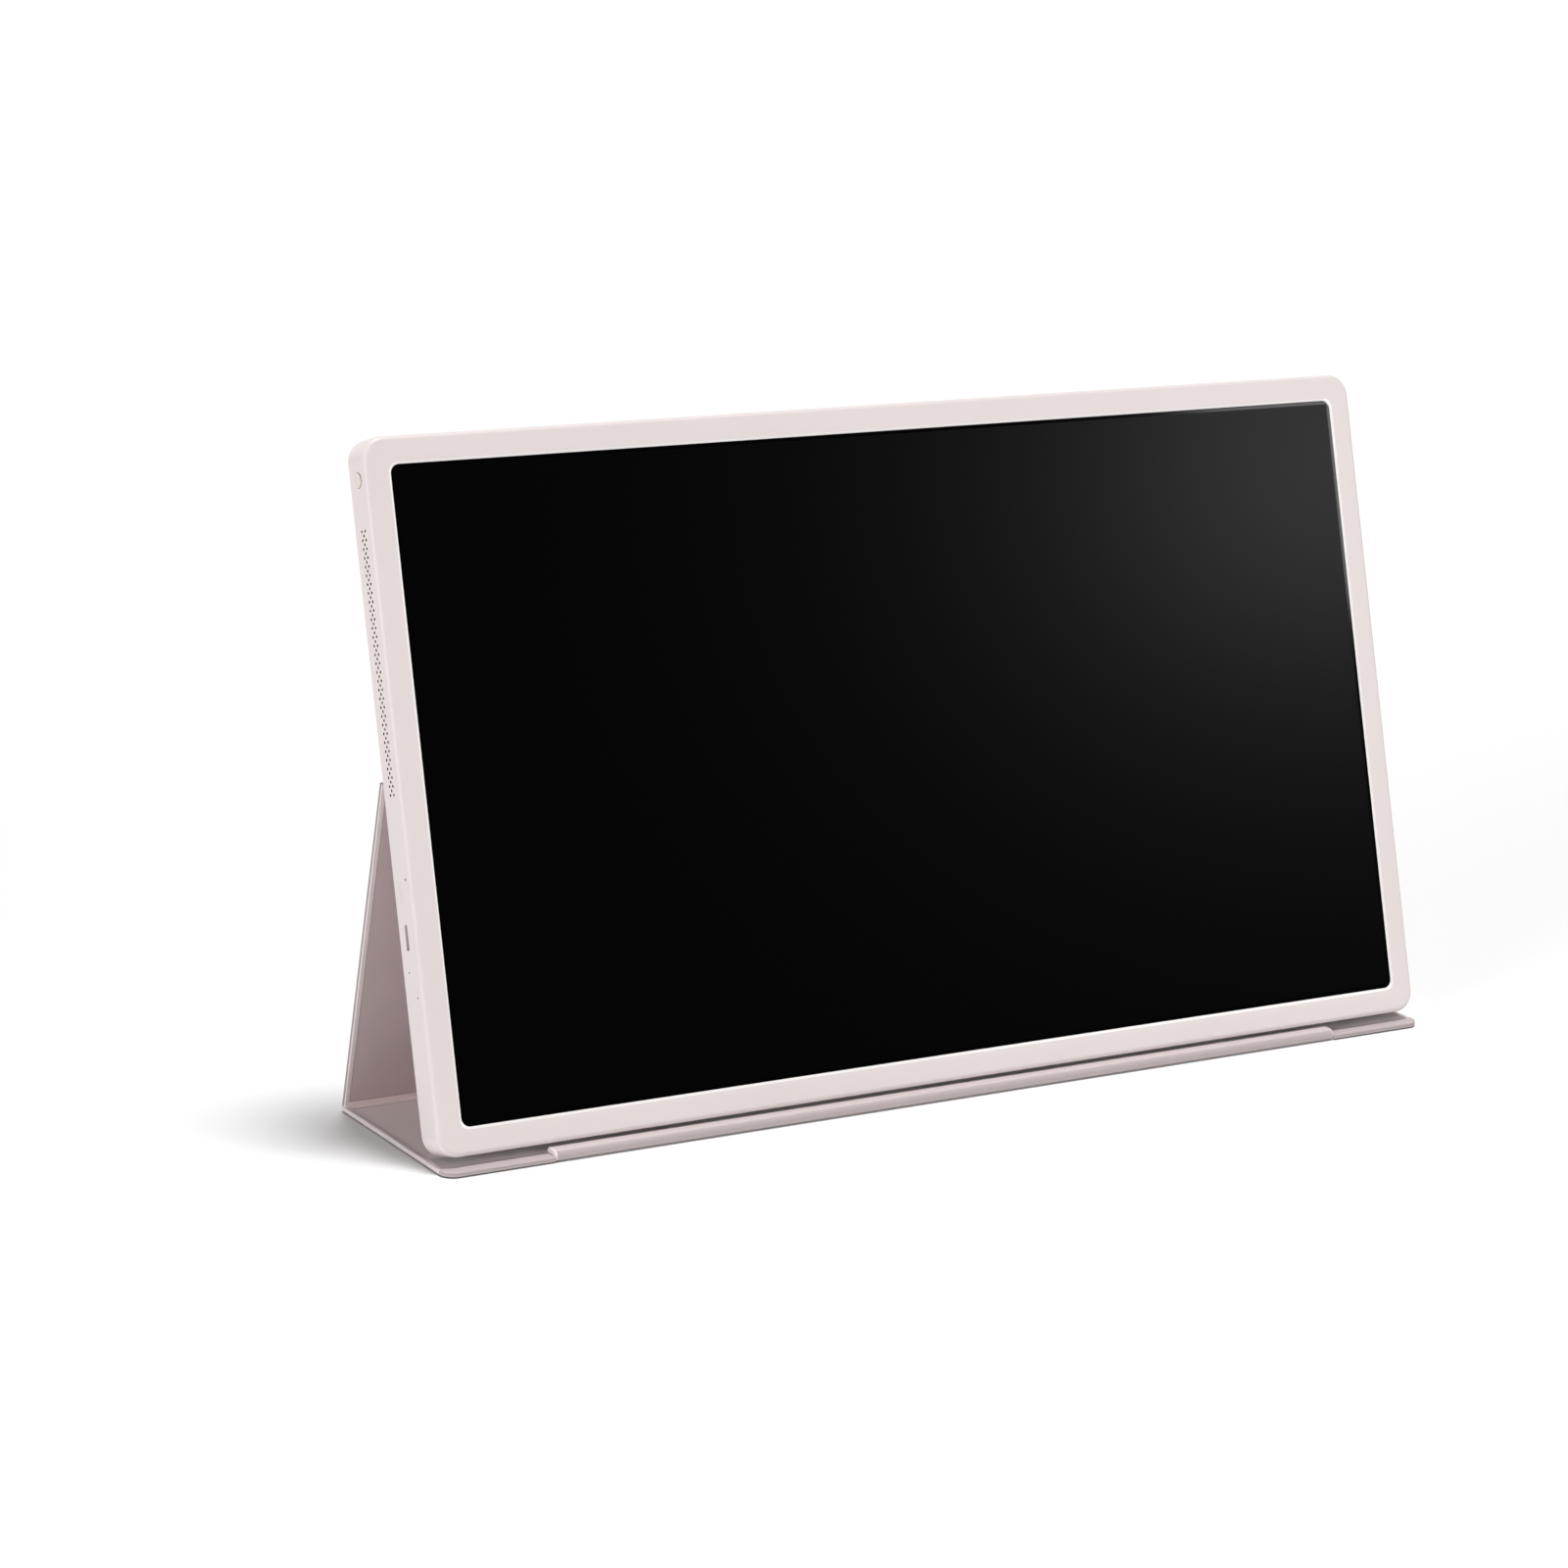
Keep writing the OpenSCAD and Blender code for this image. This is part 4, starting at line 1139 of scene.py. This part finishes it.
# %% [markdown]
# ### Pockets for the boards and the linings
#
# Inside the hem each panel is recessed, and a stiffening board and the lining lie in the
# recess. The recess could be a boolean, but cutting lines across one flat face and pushing its
# middle in keeps the mesh clean. Next to a fold the leather stays plain and flat.

# %% Recesses in base and leg
def recess(piece, origin, way, out, start, stop, half_w, depth):
    """Pushes in the middle of a flat face: way runs up the panel, out points out of its face."""
    edit(piece)
    lines = [(origin + way * start, way), (origin + way * stop, way),
             (Vector((half_w, 0, 0)), Vector((1, 0, 0))),
             (Vector((-half_w, 0, 0)), Vector((1, 0, 0)))]

    def on_face(face):
        return face.normal.dot(out) > 0.9999 and abs(
            (face.calc_center_median() / MM - origin).dot(out)) < NEAR

    for spot, normal in lines:
        pick("FACE", on_face)
        bpy.ops.mesh.bisect(plane_co=spot * MM, plane_no=normal)

    def middle(face):
        centre = face.calc_center_median() / MM
        up_panel = (centre - origin).dot(way)
        return on_face(face) and start < up_panel < stop and abs(centre.x) < half_w

    count = pick("FACE", middle)
    extrude(out * -depth * MM)

    def rim(edge):
        return sharp(edge) and both(edge, lambda p: abs((p - origin).dot(out)) < NEAR
                                    and abs(p.x) < half_w + NEAR
                                    and start - NEAR < (p - origin).dot(way) < stop + NEAR)

    pick("EDGE", rim)
    bevel(POCKET_ROUND, 2)
    close_edit()
    return count


POCKET_ROUND = 0.2
HALF_IN = HALF_W - HEM_W
POCKET_DEPTH = PANEL_T - SKIN_T
base_start = lip_y + FOLD_HEM
base_stop = heel_y - PANEL_T - CREASE_WALL
leg_start, leg_stop = CREASE_IN, LEG_LEN - HEM_W
base_top = Vector((0, 0, PANEL_T))
print("base", recess(cover, base_top, Vector((0, 1, 0)), Vector((0, 0, 1)), base_start,
                     base_stop, HALF_IN, POCKET_DEPTH))
print("leg", recess(cover, heel_fold / MM, leg_way, -leg_out, leg_start, leg_stop, HALF_IN,
                    POCKET_DEPTH))

# %% [markdown]
# The front edge makes room for the lip's roll, as a cut with the lip's own radius.

# %% Room for the lip
LIP_IN = 63.3
RUN = 0.08
LIP_W = COVER_W - 2 * LIP_IN
lip_gap_w = LIP_W + 2 * FOLD_GAP
roll_room = side_rod("room", 2 * (PANEL_T + RUN), -lip_gap_w / 2, lip_gap_w / 2, lip_y,
                     -heel_z, sides=64)
cut(cover, roll_room)
cut(cover, block("room", (-lip_gap_w / 2, base_front - 1, -1),
                 (lip_gap_w / 2, base_front + 1.5 * PANEL_T, PANEL_T + 1)))
faces_out(cover)
smooth(cover, 30)
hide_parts("base_skin", "leg_skin")
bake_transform(cover)
print(cover.name, len(cover.data.polygons), "faces")

# %% [markdown]
# The skin gets its finishes face by face. Pieces of their own could carry them, but then the skin
# would be cut up. The two side hems get a paler copy of the leather as painted highlight, the leg's
# side faces a darker copy as painted shade, the lining runs on over the crease at the heel, and the
# lowest edge gets painted contact shadow. The lip has the same list; its top gets a paler copy than
# its front as painted light, and its front has the base's leather.

# %% Finishes on the skin
LEATHER, HEM_HIGHLIGHT, EDGE, CONTACT_SHADOW, LINING, FRONT = range(6)
SKIN_FINISHES = (hem_painted_highlight_finish, leg_side_shade_finish, contact_shadow_finish, base_lining_painted_light_finish, leather_finish)
CONTACT_SHADOW_UP = 0.9


def cover_choice(p, normal):
    way, depth = leg_place(p)
    on_leg_side = way > 0 and p.z > PANEL_T
    # the lowest down-facing edge gets painted contact shadow
    if p.z < CONTACT_SHADOW_UP and -0.99 < normal.z < -0.15:
        return CONTACT_SHADOW
    # the side hems get the paler copy as painted highlight
    if abs(p.x) > HALF_IN - NEAR and on_leg_side:
        if depth < HEM_ROUND:
            return HEM_HIGHLIGHT
        # the leg's side faces get the darker copy as painted shade
        return EDGE if abs(normal.x) > 0.3 else LEATHER
    if abs(p.x) > HALF_IN - NEAR:
        return HEM_HIGHLIGHT if p.z > CONTACT_SHADOW_UP and p.y > base_front + BASE_R else LEATHER
    on_strip = abs(depth) < 0.05 and way < leg_start if on_leg_side else (
        p.z > PANEL_T - 0.05 and p.y > base_stop)
    return LINING if on_strip else LEATHER


paint(cover, (leather_finish, *SKIN_FINISHES), cover_choice)

# %% [markdown]
# ## Linings of base and leg
#
# Each lining is a thin sheet cut to the recess, with a soft edge and a slight crown from the
# glue underneath. The sheet is a block whose top is inset and lifted a little. The inset is less
# than the corners' radius, because a wider one would turn the corners inside out.

# %% Lining sheets
LINING_R, LINING_EDGE = 0.5, 0.12
CROWN_IN, CROWN_UP = 0.3, 0.04


def lining_sheet(name, width, start, stop, low):
    """A lining drawn flat, its top low + LINING_T above the panel's outer face."""
    piece = block(name, (-width / 2, start, low), (width / 2, stop, low + LINING_T))
    round_edges(piece, LINING_R, 4, lambda edge: along(edge, 2))
    round_edges(piece, LINING_EDGE, 2, lambda edge: both(
        edge, lambda p: p.z > low + LINING_T - NEAR))
    edit(piece)
    pick("FACE", lambda face: face.normal.z > 0.99)
    bpy.ops.mesh.inset(thickness=CROWN_IN * MM)
    bpy.ops.transform.translate(value=(0, 0, CROWN_UP * MM))
    close_edit()
    return faces_out(piece)


lining_low = PANEL_T - LINING_DROP - LINING_T
LINING_FIT = 0.06
lining_w = 2 * (HALF_IN - LINING_FIT)
base_lining = lining_sheet("base_suede", lining_w, base_start + LINING_FIT,
                           base_stop - LINING_FIT, lining_low)
dress(smooth(base_lining), base_lining_painted_light_finish, "base", ["base_lining"])
leg_lining = lining_sheet("leg_suede", lining_w, leg_start + LINING_FIT,
                          leg_stop - LINING_FIT, lining_low - PANEL_T)
leg_lining.rotation_euler = (LEG_ANGLE, 0, 0)
leg_lining.location = heel_fold
settle(leg_lining)
dress(smooth(leg_lining), lining_finish, "leg", ["leg_lining"])

# %% [markdown]
# ## Upper plate and its hinge
#
# The plate lies on the monitor's back and hangs the leg. It is drawn flat with the body, its
# lower end spun through the hinge's angle and drawn down to the leg's top, so that one skin
# crosses the fold.

# %% Plate
PLATE_INSET = 8
PLATE_R = 9
CLOSE_ANGLE = LEG_ANGLE - (math.radians(90) - LEAN)
plate_half = SIDE_X - PLATE_INSET
plate_high = BODY_H - PLATE_INSET
plate_low = FOLD_UP + FOLD_SLACK
plate_out = BODY_D + PANEL_T

plate = block("plate_leather", (-plate_half, plate_low, -plate_out),
              (plate_half, plate_high, -BODY_D))
round_edges(plate, PLATE_R, 8, lambda edge: along(edge, 2) and both(
    edge, lambda p: p.y > plate_high - 1))
seam_lines(plate, Vector((0, 0, -plate_out)), Vector((0, 0, 1)), SEAM_UP)
lean_back(plate)
body_up = Vector((0, math.sin(LEAN), math.cos(LEAN)))
edit(plate)
pick("FACE", lambda face: face.normal.dot(body_up) < -0.999)
extrude(body_up * -FOLD_SLACK * MM)
bpy.ops.mesh.spin(steps=5, angle=CLOSE_ANGLE, center=top_fold, axis=(-1, 0, 0))
pick("FACE", lambda face: face.normal.dot(leg_way) < -0.9999)
extrude(leg_way * -FOLD_SLACK * MM)
close_edit()
faces_out(plate)
body_back = Vector((0, math.cos(LEAN), -math.sin(LEAN)))


def plate_depth(p):
    """How far behind the monitor's front a point in mm lies."""
    return (p - front_edge / MM).dot(body_back)


def plate_edge(edge):
    return sharp(edge) and both(edge, lambda p: abs(plate_depth(p) - plate_out) < NEAR)


print("plate edges", round_edges(plate, OUTER_ROUND, 3, plate_edge))
edit(plate)
seam_points = pick("VERT", lambda vertex: abs(
    plate_depth(vertex.co / MM) - plate_out + SEAM_UP) < NEAR)
bpy.ops.transform.shrink_fatten(value=-SEAM_DEPTH * MM)
close_edit()
print("seam points", seam_points)
recess(plate, body_point(0, 0, BODY_D) / MM, body_up, -body_back, plate_low + HEM_W,
       plate_high - HEM_W, plate_half - HEM_W, POCKET_DEPTH)
faces_out(plate)
smooth(plate, 30)
plate.data.materials.clear()
plate.data.materials.append(leather_finish)
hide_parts("plate_skin")
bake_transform(plate)
print(plate.name, len(plate.data.polygons), "faces")

# %% [markdown]
# ## Front lip
#
# The lip is a short flap folded back over the base's front edge. Its flat part is a block with
# rounded ends; its front end is spun half a turn round the fold's axis, down to the base's
# underside.

# %% Lip
LIP_REACH = 6.2
LIP_GAP = 0.2
LIP_TIP_R, LIP_RIM_R = 1.2, 0.9
LIP_CONTACT_SHADOW_UP = 0.6
lip_low, lip_high = heel_z + LIP_GAP, heel_z + PANEL_T

lip = block("lip_leather", (-LIP_W / 2, lip_y, lip_low), (LIP_W / 2, lip_y + LIP_REACH, lip_high))
seam_lines(lip, Vector((0, 0, heel_z)), Vector((0, 0, 1)), PANEL_T - SEAM_UP)
edit(lip)
pick("FACE", lambda face: face.normal.y < -0.99)
bpy.ops.mesh.spin(steps=16, angle=math.radians(180), center=lip_fold, axis=(-1, 0, 0))
close_edit()
faces_out(lip)
print("lip from", round(min(v.co.y for v in lip.data.vertices) / MM, 2), "to",
      round(max(v.co.y for v in lip.data.vertices) / MM, 2))


def tip_edge(edge):
    return along(edge, 0) and both(edge, lambda p: p.y > lip_y + LIP_REACH - NEAR
                                   and p.z > lip_high - NEAR)


print("tip", round_edges(lip, LIP_TIP_R, 4, tip_edge))


def lip_rim(edge):
    """True on the outer rim of the lip's two ends."""
    def on_rim(p):
        rolled = abs(math.hypot(p.y - lip_y, p.z - heel_z) - PANEL_T) < 0.02 and p.y < lip_y
        return rolled or p.z > lip_high - LIP_TIP_R - NEAR and p.y > lip_y - NEAR
    return sharp(edge) and both(edge, lambda p: abs(p.x) > LIP_W / 2 - NEAR and on_rim(p))


print("rim", round_edges(lip, LIP_RIM_R, 4, lip_rim))
faces_out(lip)
smooth(lip, 35)


def lip_choice(p, normal):
    """The rims of the lip's ends get painted highlight, its lowest edge painted contact shadow, and its top is
    lighter than its front as painted light.
    """
    # the lip's lowest down-facing edge gets painted contact shadow
    if p.z < LIP_CONTACT_SHADOW_UP and normal.z < -0.15:
        return CONTACT_SHADOW
    if abs(p.x) > LIP_W / 2 - LIP_RIM_R - 0.05:
        return HEM_HIGHLIGHT
    return FRONT if normal.y < -0.5 else LEATHER


paint(lip, (lip_top_painted_light_finish, *SKIN_FINISHES), lip_choice)
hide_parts("lip_skin")
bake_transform(lip)
print(lip.name, len(lip.data.polygons), "faces")

# %% [markdown]
# ## Floor, light and finish
#
# The photograph has a pure white ground with a soft shadow to the left. Brighter lamps could
# bleach the ground, but they would bleach the object too. So the floor is nearly white, the sky
# is white to the eye and in reflections, and the lamps stay at a plain level.

# %% Floor
FLOOR_SIZE = 60
FLOOR_COLOUR = (0.94, 0.94, 0.94)
FLOOR_GLOW = 0.03


def seen_directly(nodes, links):
    """A factor that is 1 for the camera and for mirrored or refracted rays, and 0 for others."""
    path = nodes.new("ShaderNodeLightPath")
    seen = path.outputs["Is Camera Ray"]
    for way in ("Is Glossy Ray", "Is Transmission Ray"):
        either = nodes.new("ShaderNodeMath")
        either.operation = "MAXIMUM"
        links.new(seen, either.inputs[0])
        links.new(path.outputs[way], either.inputs[1])
        seen = either.outputs[0]
    return seen


deselect()
bpy.ops.mesh.primitive_plane_add(size=FLOOR_SIZE)
floor = bpy.context.object
floor.name = "floor"
floor_finish, nodes, links, shader = new_finish("pale floor", roughness=0.9, specular=0.0)
shader.inputs["Base Color"].default_value = (*FLOOR_COLOUR, 1)
shader.inputs["Emission Color"].default_value = (1, 1, 1, 1)
seen = seen_directly(nodes, links)
links.new(spread(nodes, links, seen, 0, FLOOR_GLOW), shader.inputs["Emission Strength"])
floor.data.materials.append(floor_finish)
print("floor", FLOOR_SIZE, "m wide")

# %% [markdown]
# ### Light
#
# A high key sun from the right lights the ground and throws the shadow to the left. A low fill
# from the left lights the side wall and draws a bright line on the rounded front edge. A small
# lamp from the upper right makes the soft glow in the screen. Area lamps could do it too, but
# suns light the wide floor evenly.

# %% Suns and sky
SKY = 0.13
SUNS = {
    "key": {"from": (0.13, 0.0, 0.99), "strength": 2.6, "angle": 16},
    "fill": {"from": (-0.93, -0.34, 0.14), "strength": 1.6, "angle": 25},
    "glow": {"from": (0.616, -0.742, 0.268), "strength": 0.4, "angle": 4},
}


def sun(name, facts):
    bpy.ops.object.light_add(type="SUN")
    lamp = bpy.context.object
    lamp.name = name
    lamp.data.energy = facts["strength"]
    lamp.data.angle = math.radians(facts["angle"])
    lamp.rotation_mode = "QUATERNION"
    lamp.rotation_quaternion = Vector(facts["from"]).to_track_quat("Z", "Y")
    return lamp


for name, facts in SUNS.items():
    sun(name, facts)
sky = bpy.data.worlds.new("soft sky")
bpy.context.scene.world = sky
sky.use_nodes = True
nodes, links = sky.node_tree.nodes, sky.node_tree.links
nodes["Background"].inputs["Color"].default_value = (1, 1, 1, 1)
seen = seen_directly(nodes, links)
links.new(spread(nodes, links, seen, SKY, 1), nodes["Background"].inputs["Strength"])
bpy.context.scene.view_settings.view_transform = "Standard"
print("suns", list(SUNS))
